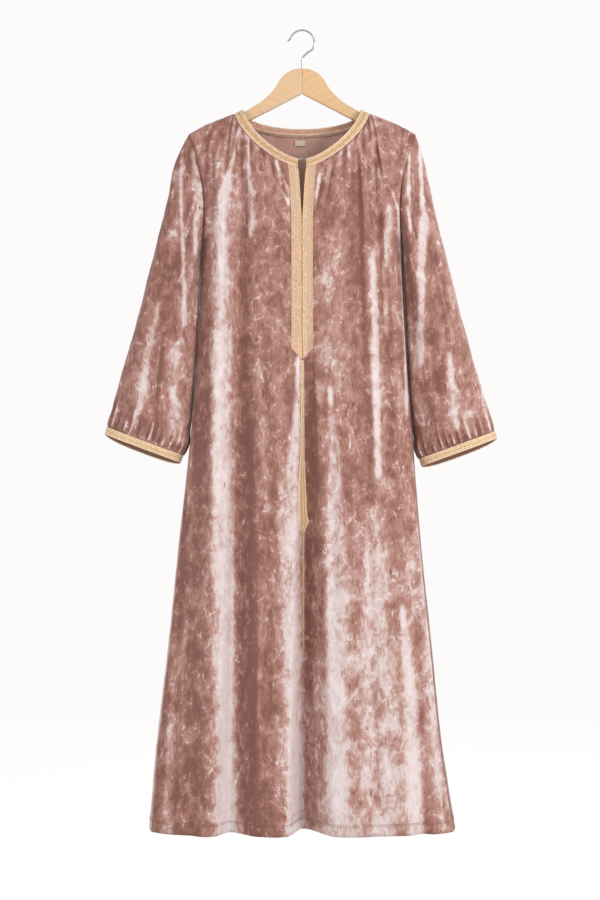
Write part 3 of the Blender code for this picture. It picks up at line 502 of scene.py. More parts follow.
# %% Folds
Fold = namedtuple("Fold", "face start stop top_across low_across top_rise low_rise left right")
FOLDS = [
    Fold("front", -0.200, HEM, -0.148, -0.174, 0.006, 0.008, 0.030, 0.026),
    Fold("front", -0.230, HEM, -0.110, -0.130, -0.007, -0.034, 0.028, 0.052),
    Fold("front", -0.600, HEM, -0.045, -0.049, 0.002, 0.006, 0.040, 0.028),
    Fold("front", -0.540, HEM, 0.006, 0.002, -0.005, -0.064, 0.030, 0.060),
    Fold("front", -0.600, -1.050, 0.023, 0.032, 0.005, 0.006, 0.012, 0.026),
    Fold("front", -0.700, HEM, 0.075, 0.088, 0.003, 0.006, 0.040, 0.060),
    Fold("front", -0.185, -0.900, 0.128, 0.160, -0.009, -0.006, 0.018, 0.022),
    Fold("front", -0.185, -0.900, 0.104, 0.134, 0.006, 0.006, 0.018, 0.020),
    Fold("front", -0.980, HEM, 0.196, 0.216, -0.003, -0.010, 0.026, 0.026),
    Fold("back", -0.240, HEM, -0.120, -0.165, -0.004, -0.016, 0.040, 0.040),
    Fold("back", -0.280, HEM, -0.030, -0.050, -0.004, -0.018, 0.044, 0.044),
    Fold("back", -0.260, HEM, 0.058, 0.088, -0.003, -0.016, 0.044, 0.044),
    Fold("back", -0.300, HEM, 0.140, 0.200, -0.003, -0.010, 0.036, 0.036),
]
CREASES = [
    Fold("front", -0.232, -0.330, -0.046, -0.030, -0.0030, -0.0015, 0.007, 0.007),
    Fold("front", -0.226, -0.310, -0.064, -0.036, -0.0026, -0.0012, 0.006, 0.007),
    Fold("front", -0.250, -0.345, 0.036, 0.026, -0.0032, -0.0015, 0.008, 0.006),
    Fold("front", -0.240, -0.370, 0.058, 0.032, -0.0026, -0.0018, 0.007, 0.007),
    Fold("front", -0.205, -0.300, 0.134, 0.147, -0.0050, -0.0020, 0.006, 0.005),
    Fold("front", -0.200, -0.360, -0.166, -0.152, -0.0030, -0.0012, 0.008, 0.008),
    Fold("front", -0.195, -0.400, -0.092, -0.086, 0.0026, 0.0010, 0.009, 0.010),
    Fold("front", -0.210, -0.420, 0.098, 0.112, -0.0026, -0.0015, 0.009, 0.010),
    Fold("front", -0.350, -0.600, -0.162, -0.150, -0.0020, -0.0022, 0.012, 0.016),
    Fold("front", -0.420, -0.760, 0.150, 0.168, -0.0030, -0.0020, 0.014, 0.014),
    Fold("front", -0.640, -1.100, 0.052, 0.058, -0.0020, -0.0030, 0.014, 0.020),
    Fold("front", -0.820, -1.440, -0.212, -0.236, -0.0030, -0.0060, 0.016, 0.018),
    Fold("front", -0.900, -1.440, 0.120, 0.132, -0.0025, -0.0050, 0.018, 0.024),
    Fold("front", -1.020, -1.440, -0.076, -0.082, 0.0020, 0.0030, 0.014, 0.016),
    Fold("back", -0.215, -0.420, -0.062, -0.072, -0.0030, -0.0012, 0.010, 0.010),
    Fold("back", -0.220, -0.460, 0.024, 0.020, -0.0026, -0.0014, 0.010, 0.012),
    Fold("back", -0.210, -0.400, 0.112, 0.122, -0.0030, -0.0012, 0.009, 0.010),
    Fold("back", -0.500, -0.950, -0.090, -0.098, -0.0030, -0.0030, 0.016, 0.018),
    Fold("back", -0.640, -1.300, 0.010, 0.018, 0.0030, 0.0040, 0.018, 0.020),
    Fold("back", -0.560, -1.200, 0.150, 0.178, -0.0030, -0.0040, 0.016, 0.020),
]
FOLD_FADE = 0.075
CREASE_FADE = 0.030
FOLD_TOP_NARROWING = 0.45


def fold_rise(table, fade, face, across, height):
    total = np.zeros(np.broadcast(across, height).shape)
    for fold in table:
        if fold.face != face:
            continue
        t = (fold.start - height) / (fold.start - fold.stop)
        centre = mix(fold.top_across, fold.low_across, t)
        width = np.where(across < centre, fold.left, fold.right)
        width = mix(FOLD_TOP_NARROWING, 1.0, np.clip(t, 0, 1)) * width
        away = np.minimum(np.abs(across - centre) / width, 1.0)
        rise = mix(fold.top_rise, fold.low_rise, t) * ease((fold.start - height) / fade)
        if fold.stop > HEM:
            rise = rise * ease((height - fold.stop) / (2 * fade))
        total += np.where((t >= 0) & (t <= 1), rise * np.cos(math.pi * away / 2) ** 2, 0.0)
    return total


def body_depth(face, across, height):
    """How far the cloth stands in front of, or behind, the plane of the hanger."""
    half = np.where(across < 0, half_width(-1, height), half_width(1, height))
    drop = shoulder_height(across) - height
    roll = np.clip(drop / ROLL_DROP, 0.0, 1.0)
    full = section(height, face) * np.sqrt(1 - (1 - roll) ** 2)
    away = ease((half - np.abs(across)) / SEAM_EASE)
    edge = armhole_depth(face, height, away)
    share = np.minimum(np.abs(across) / half, 1.0)
    bulge = (1 - share**ROUNDNESS) ** (1 / ROUNDNESS)
    folds = fold_rise(FOLDS, FOLD_FADE, face, across, height)
    folds = folds + fold_rise(CREASES, CREASE_FADE, face, across, height) * ease(drop / 0.03)
    depth = edge + (full - edge) * bulge + folds * away
    down = np.clip(drop / WOOD_ROLL, 0.0, 1.0)
    start, stop = WOOD_COVER_FADE
    cover = WOOD_COVER * np.sqrt(1 - (1 - down) ** 2) * (1 - ease((drop - start) / (stop - start)))
    return (np.maximum(depth, 0.0) ** COVER_BLEND + cover**COVER_BLEND) ** (1 / COVER_BLEND)


def surface(face, across, height, rise=0.0):
    depth = body_depth(face, across, height) + rise
    return np.stack([across + 0 * depth, -depth if face == "front" else depth, height + 0 * depth], axis=-1)


print(len(FOLDS), "folds and", len(CREASES), "creases")

# %% [markdown]
# ## The panels' grids
#
# A panel's columns start at its seams, fan out from the neck band and fall to the hem, as the cloth's own
# grain does. Its rows are level lines. A column and a row are plain numbers that may have fractions, so
# the same function serves the panels, and later the trims that lie on them.

# %% Columns and rows
SHOULDER_COLUMNS = 5
NECK_COLUMNS = {"front": 14, "back": 8}
SLIT_TOP_HALF = 0.0080
SLIT_LOW_HALF = 0.0005
SLIT_LEVEL = 7
PLACKET_WIDTHS = [0.0190, 0.0130, 0.0075, 0.0030, 0.0]
PLACKET_COLUMNS = len(PLACKET_WIDTHS) - 1
SHOULDER_TOPS = [SHOULDER_TIP.across, 0.195, 0.179, 0.161, 0.142, BAND_OUTER_HALF]
SHOULDER_SHARES = {
    "front": [1.0, 0.94, 0.80, 0.58, 0.30, 0.0],
    "back": [1.0, 0.975, 0.875, 0.625, 0.31, 0.0],
}
INNER_SHARE = {"front": 0.86, "back": 0.84}
YOKE_ROWS = 11
SIDE_BULGE = 0.0015
LOWER_HEIGHTS = [
    UNDERARM, -0.430, -0.500, -0.584, -0.603, -0.680, -0.770, -0.860, -0.950, -1.040, -1.130, -1.220,
    -1.310, -1.390, HEM,
]
GATHER_RISE = {"neck": 0.0026, "shoulder": 0.0013, "back": 0.0016}
GATHER_LENGTH = {"neck": 0.55, "shoulder": 0.60, "back": 0.40}


def last_column(face):
    return SHOULDER_COLUMNS + NECK_COLUMNS[face] + (PLACKET_COLUMNS if face == "front" else 0)


def yoke_share(row):
    """How far down the yoke a row lies, from 0 at the top to 1 at the underarm, closest at both ends."""
    return 0.5 * (1 - np.cos(math.pi * np.minimum(row, YOKE_ROWS) / YOKE_ROWS))


def slit_half(row):
    return mix(SLIT_TOP_HALF, SLIT_LOW_HALF, np.minimum(row / SLIT_LEVEL, 1.0))


def placket_width(place):
    """Distance from the slit's edge at a column counted from the placket's outer edge."""
    return np.interp(place, range(PLACKET_COLUMNS + 1), PLACKET_WIDTHS)


def neck_across(face, row, place):
    """Distance from the middle of a neck or placket column on a line of the band."""
    columns = NECK_COLUMNS[face]
    half = mix(NECK_TOP.across, BAND_OUTER_HALF, row)
    n = place - SHOULDER_COLUMNS
    if face == "back":
        return half * np.cos(math.pi / 2 * np.clip(n, 0, columns) / columns)
    edge = SLIT_TOP_HALF + PLACKET_WIDTHS[0]
    last = math.acos((edge / BAND_OUTER_HALF) ** (NECK_POWER["front"] / 2))
    fanned = half * np.cos(last * np.clip(n, 0, columns) / columns) ** (2 / NECK_POWER["front"])
    beside_slit = (SLIT_TOP_HALF + placket_width(n - columns)) * half / BAND_OUTER_HALF
    return np.where(n <= columns, fanned, beside_slit)


def gather_rise(face, place, share):
    """Small ridges where the seam at the top of a panel draws the cloth in."""
    last = SHOULDER_COLUMNS + NECK_COLUMNS[face]
    kind = "neck" if face == "front" else "back"
    inner = ease(place - SHOULDER_COLUMNS + 0.5)
    height = mix(GATHER_RISE["shoulder"], GATHER_RISE[kind], inner)
    length = mix(GATHER_LENGTH["shoulder"], GATHER_LENGTH[kind], inner)
    wave = 0.325 - 0.675 * np.cos(math.pi * place)
    ends = np.clip(place, 0, 1) * np.clip(last - place, 0, 1)
    return height * wave * ends * ease(share / 0.03) * (1 - ease(share / length))


def panel_points(face, side, place, row):
    """Points of one half of a panel. place is a line of columns and row a stack of rows."""
    place, row = np.meshgrid(place, row)
    innermost = SHOULDER_COLUMNS + NECK_COLUMNS[face]
    shares = np.interp(place, range(SHOULDER_COLUMNS + 1), SHOULDER_SHARES[face])
    middle = slit_half(row) + PLACKET_WIDTHS[0] if face == "front" else 0.0 * row
    top_middle = SLIT_TOP_HALF + PLACKET_WIDTHS[0] if face == "front" else 0.0
    even = np.clip((innermost - place) / NECK_COLUMNS[face], 0, 1)
    beside_slit = slit_half(row) + placket_width(place - innermost)

    share = yoke_share(row)
    top_across = np.where(
        place <= SHOULDER_COLUMNS,
        np.interp(place, range(SHOULDER_COLUMNS + 1), SHOULDER_TOPS),
        neck_across(face, 1.0, place),
    )
    top_height = np.where(
        place <= SHOULDER_COLUMNS, shoulder_height(top_across), neck_curve(face, 1.0, top_across)
    )
    height = mix(top_height, UNDERARM, share)
    edge = half_width(side, mix(SHOULDER_TIP.height, UNDERARM, share))
    spread = np.sqrt(share)
    inner = mix(BAND_OUTER_HALF, INNER_SHARE[face] * half_width(side, np.full_like(row, UNDERARM)), spread)
    top_weight = (top_across - BAND_OUTER_HALF) / (SHOULDER_TIP.across - BAND_OUTER_HALF)
    shoulder_part = mix(inner, edge, mix(top_weight, shares, share))
    neck_weight = (top_across - top_middle) / (BAND_OUTER_HALF - top_middle)
    neck_part = mix(middle, inner, mix(neck_weight, even, spread))
    yoke = np.where(place <= innermost, neck_part, beside_slit)
    yoke = np.where(place <= SHOULDER_COLUMNS, shoulder_part, yoke)
    yoke = np.where(row <= 0, top_across, yoke)

    low_height = np.interp(row - YOKE_ROWS, range(len(LOWER_HEIGHTS)), LOWER_HEIGHTS)
    half = half_width(side, low_height)
    outer = section(low_height, "seam") if face == "front" else 1.0
    skirt = np.where(
        place <= SHOULDER_COLUMNS, half * mix(INNER_SHARE[face], outer, shares),
        np.where(place <= innermost, mix(middle, half * INNER_SHARE[face], even), beside_slit),
    )
    upper = row <= YOKE_ROWS
    across = side * np.where(upper, yoke, skirt)
    height = np.where(upper, height, low_height)
    rise = np.where(upper, gather_rise(face, place, share), 0.0)
    points = surface(face, across, height, rise)
    if face == "back":
        points = wrapped_round_side(points, side, place, row, low_height, half)
    return points


def wrapped_round_side(points, side, place, row, height, half):
    """Below the underarm the back's first column is the front's edge, and the cloth curves round to it."""
    rim = surface("front", side * half * section(height, "seam"), height)
    first = surface("back", side * half * mix(INNER_SHARE["back"], 1.0, SHOULDER_SHARES["back"][1]), height)
    turn = np.clip(place, 0, 1)[..., None]
    round_side = mix(rim, first, turn)
    round_side[..., 0] += side * SIDE_BULGE * np.sin(math.pi * turn[..., 0]) * ease(row - YOKE_ROWS)
    return np.where(((place < 1) & (row > YOKE_ROWS))[..., None], round_side, points)


def steps(start, stop, each):
    return np.linspace(start, stop, int(round((stop - start) * each)) + 1)


print("columns", last_column("front"), last_column("back"))

# %% [markdown]
# ## From a grid to a shell of cloth
#
# A grid of points becomes a mesh of four-sided faces. A Solidify modifier then gives it the cloth's
# thickness inwards, with a rim round every open edge, and puts the reverse on the inner side. Real velvet
# is never quite smooth, so before that each point moves in or out by up to a millimetre with a slow
# noise: the dents that crushing leaves.

# %% Meshes from grids
CLOTH_THICK = 0.0012
DENT_DEPTH = 0.0011
DENT_SIZE = (0.020, 0.020, 0.045)


def add_piece(name, data, replaced=()):
    """Puts a new piece in the scene, on the garment's one body."""
    obj = bpy.data.objects.new(name, data)
    bpy.context.scene.collection.objects.link(obj)
    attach(obj, "root")
    if replaced:
        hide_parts(*replaced)
    return obj


def grid_normals(grid, wrap=False):
    if wrap:
        along_row = np.roll(grid, -1, axis=1) - np.roll(grid, 1, axis=1)
    else:
        along_row = np.gradient(grid, axis=1)
    normal = np.cross(along_row, np.gradient(grid, axis=0))
    return normal / np.maximum(np.linalg.norm(normal, axis=-1, keepdims=True), 1e-12)


def facing(normal, towards):
    """Turns a grid of normals the right way out. towards is a direction for each point, or one for all."""
    return normal if (normal * towards).sum() > 0 else -normal


def dents(grid, seed):
    flat = grid.reshape(-1, 3) / DENT_SIZE + seed
    slow = np.array([noise.noise(point) for point in flat])
    quick = np.array([noise.noise(point * 2.7 + Vector((7, 7, 7))) for point in map(Vector, flat)])
    return (slow + 0.45 * quick).reshape(grid.shape[:2]) * DENT_DEPTH


def add_shell(name, grid, normal, materials, replaced=(), wrap=False, gap=None, thick=CLOTH_THICK,
              values=()):
    """A shell of cloth from a grid. gap marks faces left out, and values are numbers for each point."""
    rows, columns = grid.shape[:2]
    number = np.arange(rows * columns).reshape(rows, columns)
    after = np.roll(number, -1, axis=1) if wrap else number[:, 1:]
    before = number if wrap else number[:, :-1]
    faces = np.stack([before[:-1], after[:-1], after[1:], before[1:]], axis=-1)
    keep = np.ones(faces.shape[:2], bool) if gap is None else ~gap
    faces = faces[keep]
    corners = grid.reshape(-1, 3)[faces[:, :3]]
    crossed = np.cross(corners[:, 1] - corners[:, 0], corners[:, 2] - corners[:, 0])
    if (crossed * normal.reshape(-1, 3)[faces[:, 0]]).sum() < 0:
        faces = faces[:, ::-1]
    used, renumbered = np.unique(faces, return_inverse=True)
    mesh = bpy.data.meshes.new(name)
    mesh.from_pydata(grid.reshape(-1, 3)[used].tolist(), [], renumbered.reshape(-1, 4).tolist())
    mesh.polygons.foreach_set("use_smooth", [True] * len(mesh.polygons))
    for label, value in dict(values).items():
        layer = mesh.attributes.new(label, "FLOAT", "POINT")
        layer.data.foreach_set("value", np.ascontiguousarray(value.reshape(-1)[used], np.float32))
    for material in materials:
        mesh.materials.append(material)
    obj = add_piece(name, mesh, replaced)
    if thick:
        shell = obj.modifiers.new("cloth thickness", "SOLIDIFY")
        shell.thickness = thick
        shell.offset = -1
        shell.use_even_offset = False
        shell.material_offset = len(materials) - 1
    return obj

# %% [markdown]
# ## Pile streaks and painted light
#
# Long bright streaks run down the cloth, and deep rose ones between them. They are partly the pile's own
# streaks and partly painted light and shade: many pale ones lie where a fold's side or a gather's ridge
# turns to the key light, and many deep ones in creases and along the edges of folds. Each row of the table
# is one streak: its strength, pale above 0 and deep below it, and its path down the cloth, as heights,
# places across and half widths. They are given in millimetres. The slope of the folds adds painted light
# and shade to them: the side of a fold that turns to the key light is paler.

# %% Pile streaks and painted light
MILLIMETRE = 0.001
Streak = namedtuple("Streak", "strength path")
STREAKS = {
    "front": [
        Streak(0.44, [(-231, -123, 2.2), (-277, -134, 7.3), (-314, -143, 14.6), (-349, -148, 19.2),
            (-491, -148, 20.1), (-674, -146, 16.5), (-748, -148, 18.3), (-857, -146, 18.3),
            (-1040, -139, 20.1), (-1297, -135, 18.3), (-1472, -132, 20.1)]),
        Streak(-0.16, [(-202, -170, 1.8), (-263, -174, 2.4), (-318, -179, 1.8)]),
        Streak(-0.16, [(-195, -112, 1.6), (-244, -109, 2.2), (-286, -108, 1.6)]),
        Streak(0.34, [(-178, -114, 1.8), (-217, -122, 2.6), (-250, -123, 2.9)]),
        Streak(0.38, [(-195, -97, 1.8), (-257, -95, 3.7), (-318, -92, 4.8), (-391, -92, 4.4)]),
        Streak(0.24, [(-199, -146, 2.4), (-231, -153, 4.0), (-301, -156, 4.8)]),
        Streak(0.28, [(-217, -77, 2.0), (-264, -68, 2.6)]),
        Streak(0.34, [(-239, -51, 2.2), (-270, -37, 3.7), (-301, -24, 3.5), (-334, -20, 2.6)]),
        Streak(0.22, [(-290, -42, 2.6), (-316, -27, 2.9), (-356, -22, 2.6)]),
        Streak(0.41, [(-590, -7, 2.9), (-647, -8, 4.8), (-711, -10, 7.7), (-788, -16, 13.2),
            (-857, -20, 16.5), (-1004, -20, 16.5), (-1223, -15, 15.6), (-1472, -11, 16.5)]),
        Streak(0.14, [(-601, -75, 6.4), (-766, -71, 7.3), (-894, -62, 5.5)]),
        Streak(0.20, [(-400, -194, 2.9), (-674, -196, 2.9), (-894, -209, 3.3)]),
        Streak(0.20, [(-1077, -212, 7.3), (-1260, -231, 11.0), (-1472, -245, 12.8)]),
        Streak(0.26, [(-206, 83, 2.0), (-246, 84, 2.4)]),
        Streak(0.26, [(-213, 71, 2.0), (-253, 70, 2.2)]),
        Streak(0.40, [(-246, 41, 2.4), (-279, 31, 4.0), (-319, 23, 3.3)]),
        Streak(0.24, [(-246, 137, 2.2), (-290, 140, 4.4), (-354, 137, 4.4)]),
        Streak(0.40, [(-290, 160, 1.8), (-334, 174, 2.6), (-436, 180, 2.9), (-546, 187, 2.9),
            (-711, 190, 3.3)]),
        Streak(0.30, [(-316, 157, 6.4), (-378, 157, 8.2), (-446, 150, 6.4), (-565, 152, 5.5)]),
        Streak(0.38, [(-400, 127, 4.0), (-491, 130, 6.6), (-638, 132, 7.7), (-821, 137, 6.6)]),
        Streak(0.15, [(-360, 51, 25.6), (-491, 55, 32.9), (-674, 59, 32.9)]),
        Streak(0.39, [(-645, 49, 3.7), (-729, 55, 8.2), (-821, 59, 14.6), (-967, 60, 16.5),
            (-1223, 60, 22.9), (-1472, 62, 23.8)]),
        Streak(-0.18, [(-587, 20, 2.2), (-674, 23, 2.6), (-766, 26, 2.4), (-867, 27, 1.8)]),
        Streak(0.22, [(-857, 128, 16.5), (-1114, 135, 29.3), (-1472, 143, 36.6)]),
        Streak(0.34, [(-1040, 179, 5.5), (-1223, 194, 12.8), (-1472, 205, 16.5)]),
        Streak(0.18, [(-711, 201, 4.4), (-1040, 223, 5.5), (-1472, 253, 7.3)]),
        Streak(-0.13, [(-594, 9, 5.9), (-748, 13, 10.1), (-967, 15, 11.9), (-1114, 15, 10.1),
            (-1205, 16, 5.5)]),
        Streak(0.03, [(-1114, 16, 11.0), (-1472, 18, 11.0)]),
        Streak(0.17, [(-967, 27, 5.5), (-1150, 24, 12.8), (-1297, 22, 16.5), (-1472, 22, 16.5)]),
        Streak(-0.20, [(-711, -95, 5.5), (-967, -88, 8.2), (-1223, -88, 9.2), (-1472, -81, 9.2)]),
        Streak(-0.06, [(-711, -95, 16.5), (-967, -86, 23.8), (-1223, -84, 27.5), (-1472, -81, 27.5)]),
        Streak(-0.20, [(-200, 132, 2.2), (-235, 137, 2.9), (-279, 145, 2.2)]),
        Streak(-0.22, [(-246, 47, 1.8), (-286, 37, 2.6), (-341, 24, 2.2)]),
        Streak(-0.12, [(-253, 102, 14.6), (-418, 99, 16.5), (-546, 88, 14.6)]),
        Streak(-0.12, [(-711, -183, 9.2), (-1040, -194, 11.0), (-1472, -205, 14.6)]),
        Streak(0.32, [(-301, -35, 1.8), (-332, -20, 2.4)]),
        Streak(0.32, [(-334, -33, 1.8), (-363, -19, 2.4)]),
        Streak(0.30, [(-365, -31, 1.8), (-393, -18, 2.4)]),
        Streak(0.28, [(-396, -31, 1.8), (-422, -18, 2.2)]),
        Streak(0.24, [(-422, -29, 1.8), (-447, -20, 2.2)]),
    ],
    "sleeve_left": [
        Streak(0.35, [(-210, -199, 1.8), (-253, -194, 5.9), (-294, -189, 9.5), (-327, -188, 9.9),
            (-356, -193, 4.8), (-422, -193, 2.9)]),
        Streak(0.35, [(-210, -218, 2.6), (-299, -220, 3.7), (-433, -214, 4.0), (-546, -212, 4.8)]),
        Streak(0.16, [(-244, -227, 7.3), (-336, -231, 9.2), (-436, -234, 9.2)]),
        Streak(0.24, [(-491, -260, 6.4), (-583, -278, 8.2), (-660, -293, 10.1), (-726, -303, 8.2)]),
        Streak(0.30, [(-565, -227, 7.3), (-660, -234, 11.0), (-711, -231, 11.0), (-759, -223, 9.2)]),
        Streak(-0.20, [(-546, -249, 3.3), (-649, -258, 4.0), (-711, -265, 3.7), (-748, -270, 2.9)]),
        Streak(-0.12, [(-382, -245, 9.2), (-491, -264, 11.0), (-565, -285, 9.2)]),
        Streak(0.25, [(-605, -278, 4.6), (-638, -285, 6.6), (-674, -289, 8.1), (-702, -293, 5.5)]),
        Streak(0.36, [(-705, -299, 2.9), (-722, -302, 4.4), (-737, -307, 3.7)]),
        Streak(0.20, [(-737, -216, 3.7), (-749, -221, 8.2), (-764, -223, 8.2)]),
    ],
    "sleeve_right": [
        Streak(0.38, [(-217, 195, 2.2), (-299, 192, 3.7), (-382, 196, 3.3)]),
        Streak(0.46, [(-202, 214, 2.6), (-301, 217, 4.4), (-363, 220, 9.2), (-427, 215, 8.4),
            (-546, 214, 6.6), (-619, 216, 5.5)]),
        Streak(0.16, [(-250, 229, 2.9), (-308, 236, 3.7)]),
        Streak(0.26, [(-528, 205, 8.2), (-623, 201, 12.8), (-729, 212, 11.9)]),
        Streak(0.10, [(-462, 260, 7.3), (-574, 276, 10.1), (-718, 298, 9.2)]),
        Streak(0.14, [(-382, 245, 4.0), (-473, 253, 4.8)]),
        Streak(-0.14, [(-546, 240, 9.2), (-674, 253, 11.0)]),
        Streak(0.34, [(-583, 264, 5.5), (-638, 269, 7.3), (-674, 274, 11.0), (-707, 276, 9.2),
            (-737, 282, 4.8)]),
        Streak(-0.15, [(-623, 240, 7.3), (-674, 234, 8.2), (-726, 231, 7.3)]),
    ],
    "back": [
        Streak(0.40, [(-235, -92, 3.0), (-420, -104, 13.0), (-1000, -118, 17.0),
            (-1470, -140, 19.0)]),
        Streak(0.30, [(-250, -30, 2.5), (-400, -26, 4.5), (-560, -28, 3.0)]),
        Streak(0.42, [(-480, 4, 4.0), (-800, 0, 13.0), (-1470, -10, 17.0)]),
        Streak(0.36, [(-240, 84, 2.5), (-460, 94, 11.0), (-1470, 130, 18.0)]),
        Streak(0.26, [(-300, 150, 2.5), (-520, 158, 5.0), (-700, 164, 4.0)]),
        Streak(0.32, [(-760, 186, 6.0), (-1100, 206, 13.0), (-1470, 232, 16.0)]),
        Streak(-0.18, [(-400, -50, 10.0), (-1000, -62, 20.0), (-1470, -72, 24.0)]),
        Streak(-0.14, [(-400, 48, 10.0), (-1000, 52, 18.0), (-1470, 60, 22.0)]),
    ],
    "sleeve_back": [
        Streak(0.36, [(-215, 214, 2.5), (-340, 220, 7.0), (-560, 246, 9.0), (-740, 268, 8.0)]),
        Streak(0.24, [(-300, 240, 2.5), (-480, 268, 6.0), (-700, 310, 8.0)]),
        Streak(-0.16, [(-320, 205, 4.0), (-560, 222, 8.0), (-740, 240, 8.0)]),
    ],
}
STREAK_FADE = 0.014
STREAK_RIDGE = 0.0016
SLOPE_SHARE = 0.16
RIGHT_DEEPENING = -0.018
LOW_RIGHT_PAINTED_LIGHT = 0.10
LOW_PALENESS = 0.03


def streak_pile_and_light(piece, across, height):
    """The streaks of one piece. A path is heights, places across and half widths, in millimetres."""
    total = np.zeros(across.shape)
    for streak in STREAKS[piece]:
        heights, places, halves = np.array(streak.path).T * MILLIMETRE
        centre = np.interp(-height, -heights, places)
        away = np.abs(across - centre) / np.interp(-height, -heights, halves)
        fade = ease((heights[0] - height) / STREAK_FADE) * ease((height - heights[-1]) / STREAK_FADE)
        total += streak.strength * fade * np.exp(-(away**3))
    return total


def side_light_and_tone(across, height):
    """Low down the right half as seen is paler: painted light, from the key light's side at the front.
    Higher up that half is a touch deeper, and near the hem all the cloth is a touch paler.
    """
    nearer, low = ease(across / 0.05), ease((-height - 0.75) / 0.35)
    return nearer * (RIGHT_DEEPENING + LOW_RIGHT_PAINTED_LIGHT * low) + LOW_PALENESS * low


def slope_painted_light(normal, front=True):
    """Painted light: cloth that turns to the right at the front, or to the left behind, is paler."""
    return SLOPE_SHARE * normal[..., 0] * (1 if front else -1)


print(sum(len(streaks) for streaks in STREAKS.values()), "streaks of pile")

# %% [markdown]
# ## The front and the back
#
# Each panel is two halves side by side. At the seams the cloth is pulled in a little, so that a seam
# reads as a fine valley. The front is left open between its middle columns down to the end of the slit.

# %% Front and back
COLUMN_STEPS = 6
PLACKET_STEPS = 2
YOKE_STEPS = 7
SKIRT_STEPS = 7
SEAM_DIP = 0.0014
SEAM_SHADE = 0.12
SIDE_SHADE = 0.14
DENT_SEEDS = {"front": 3.1, "back": 9.7, "sleeves": 17.0}
GATHER_PAINTED_LIGHT = 60.0
CREASE_LIGHT_AND_SHADE = 25.0


def panel_columns(face):
    last = SHOULDER_COLUMNS + NECK_COLUMNS[face]
    columns = steps(0, last, COLUMN_STEPS)
    if face == "front":
        columns = np.concatenate([columns, steps(last, last + PLACKET_COLUMNS, PLACKET_STEPS)[1:]])
    return columns


def panel_rows():
    last = YOKE_ROWS + len(LOWER_HEIGHTS) - 1
    return np.concatenate([steps(0, YOKE_ROWS, YOKE_STEPS), steps(YOKE_ROWS, last, SKIRT_STEPS)[1:]])


def build_panel(face):
    columns, rows = panel_columns(face), panel_rows()
    left = panel_points(face, -1, columns, rows)
    right = panel_points(face, 1, columns[::-1], rows)
    places = np.concatenate([columns, columns[::-1]])
    if face == "back":
        right, places = right[:, 1:], np.concatenate([columns, columns[::-1][1:]])
    grid = np.concatenate([left, right], axis=1)
    normal = facing(grid_normals(grid), (0, -1 if face == "front" else 1, 0))
    calm = ease(places / 1.5)[None, :] * ease(rows / 2.0)[:, None]
    if face == "front":
        calm = calm * ease((last_column("front") - PLACKET_COLUMNS - places) / 1.0 + 0.1)[None, :]
    dip = np.exp(-((places / 0.4) ** 2))[None, :] * ease((rows - YOKE_ROWS) / 2 + 1)[:, None] * 0.3
    dip = dip + np.exp(-((rows / 0.35) ** 2))[:, None] * 0.6
    streaks = streak_pile_and_light(face, grid[..., 0], grid[..., 2])
    moved = dents(grid, DENT_SEEDS[face]) * calm - SEAM_DIP * np.minimum(dip, 1.0)
    moved = moved + streaks * STREAK_RIDGE * calm
    grid = grid + normal * moved[..., None]
    normal = facing(grid_normals(grid), (0, -1 if face == "front" else 1, 0))
    # Painted highlights on the ridges of the gathers below the neck and shoulder seams, with a little
    # painted shade between them.
    gathers = gather_rise(face, places[None, :], yoke_share(rows)[:, None]) * GATHER_PAINTED_LIGHT
    # Painted shade in the creases, and painted light on the few that stand out.
    creases = fold_rise(CREASES, CREASE_FADE, face, grid[..., 0], grid[..., 2]) * CREASE_LIGHT_AND_SHADE
    pile_and_light = streaks + slope_painted_light(normal, face == "front") + gathers + creases
    pile_and_light = pile_and_light + side_light_and_tone(grid[..., 0] * (1 if face == "front" else -1), grid[..., 2])
    pile_and_light = pile_and_light - SEAM_SHADE * np.exp(-((rows / 0.4) ** 2))[:, None]
    pile_and_light = pile_and_light - SIDE_SHADE * np.exp(-((places / 0.25) ** 2))[None, :]
    gap = None
    if face == "front":
        gap = np.zeros((len(rows) - 1, grid.shape[1] - 1), bool)
        gap[: int(SLIT_LEVEL * YOKE_STEPS), len(columns) - 1] = True
    obj = add_shell(face + "_velvet", grid, normal, [velvet, reverse], (face,), gap=gap,
                    values={"pile_and_light": pile_and_light})
    return obj, grid, normal


front, front_grid, front_normal = build_panel("front")
back, back_grid, back_normal = build_panel("back")
print("front", front_grid.shape[:2], "back", back_grid.shape[:2])

# %% [markdown]
# ## The sleeves
#
# A sleeve is a stack of rings, from the seam of the armhole to the seam of its cuff. The first ring is
# the panels' own edge, and its odd shape dies away down the arm. The cuff's seam gathers the last rings
# into small uneven waves. The sleeve's folds are given by their angle round the arm, from the outer line
# by way of the front.

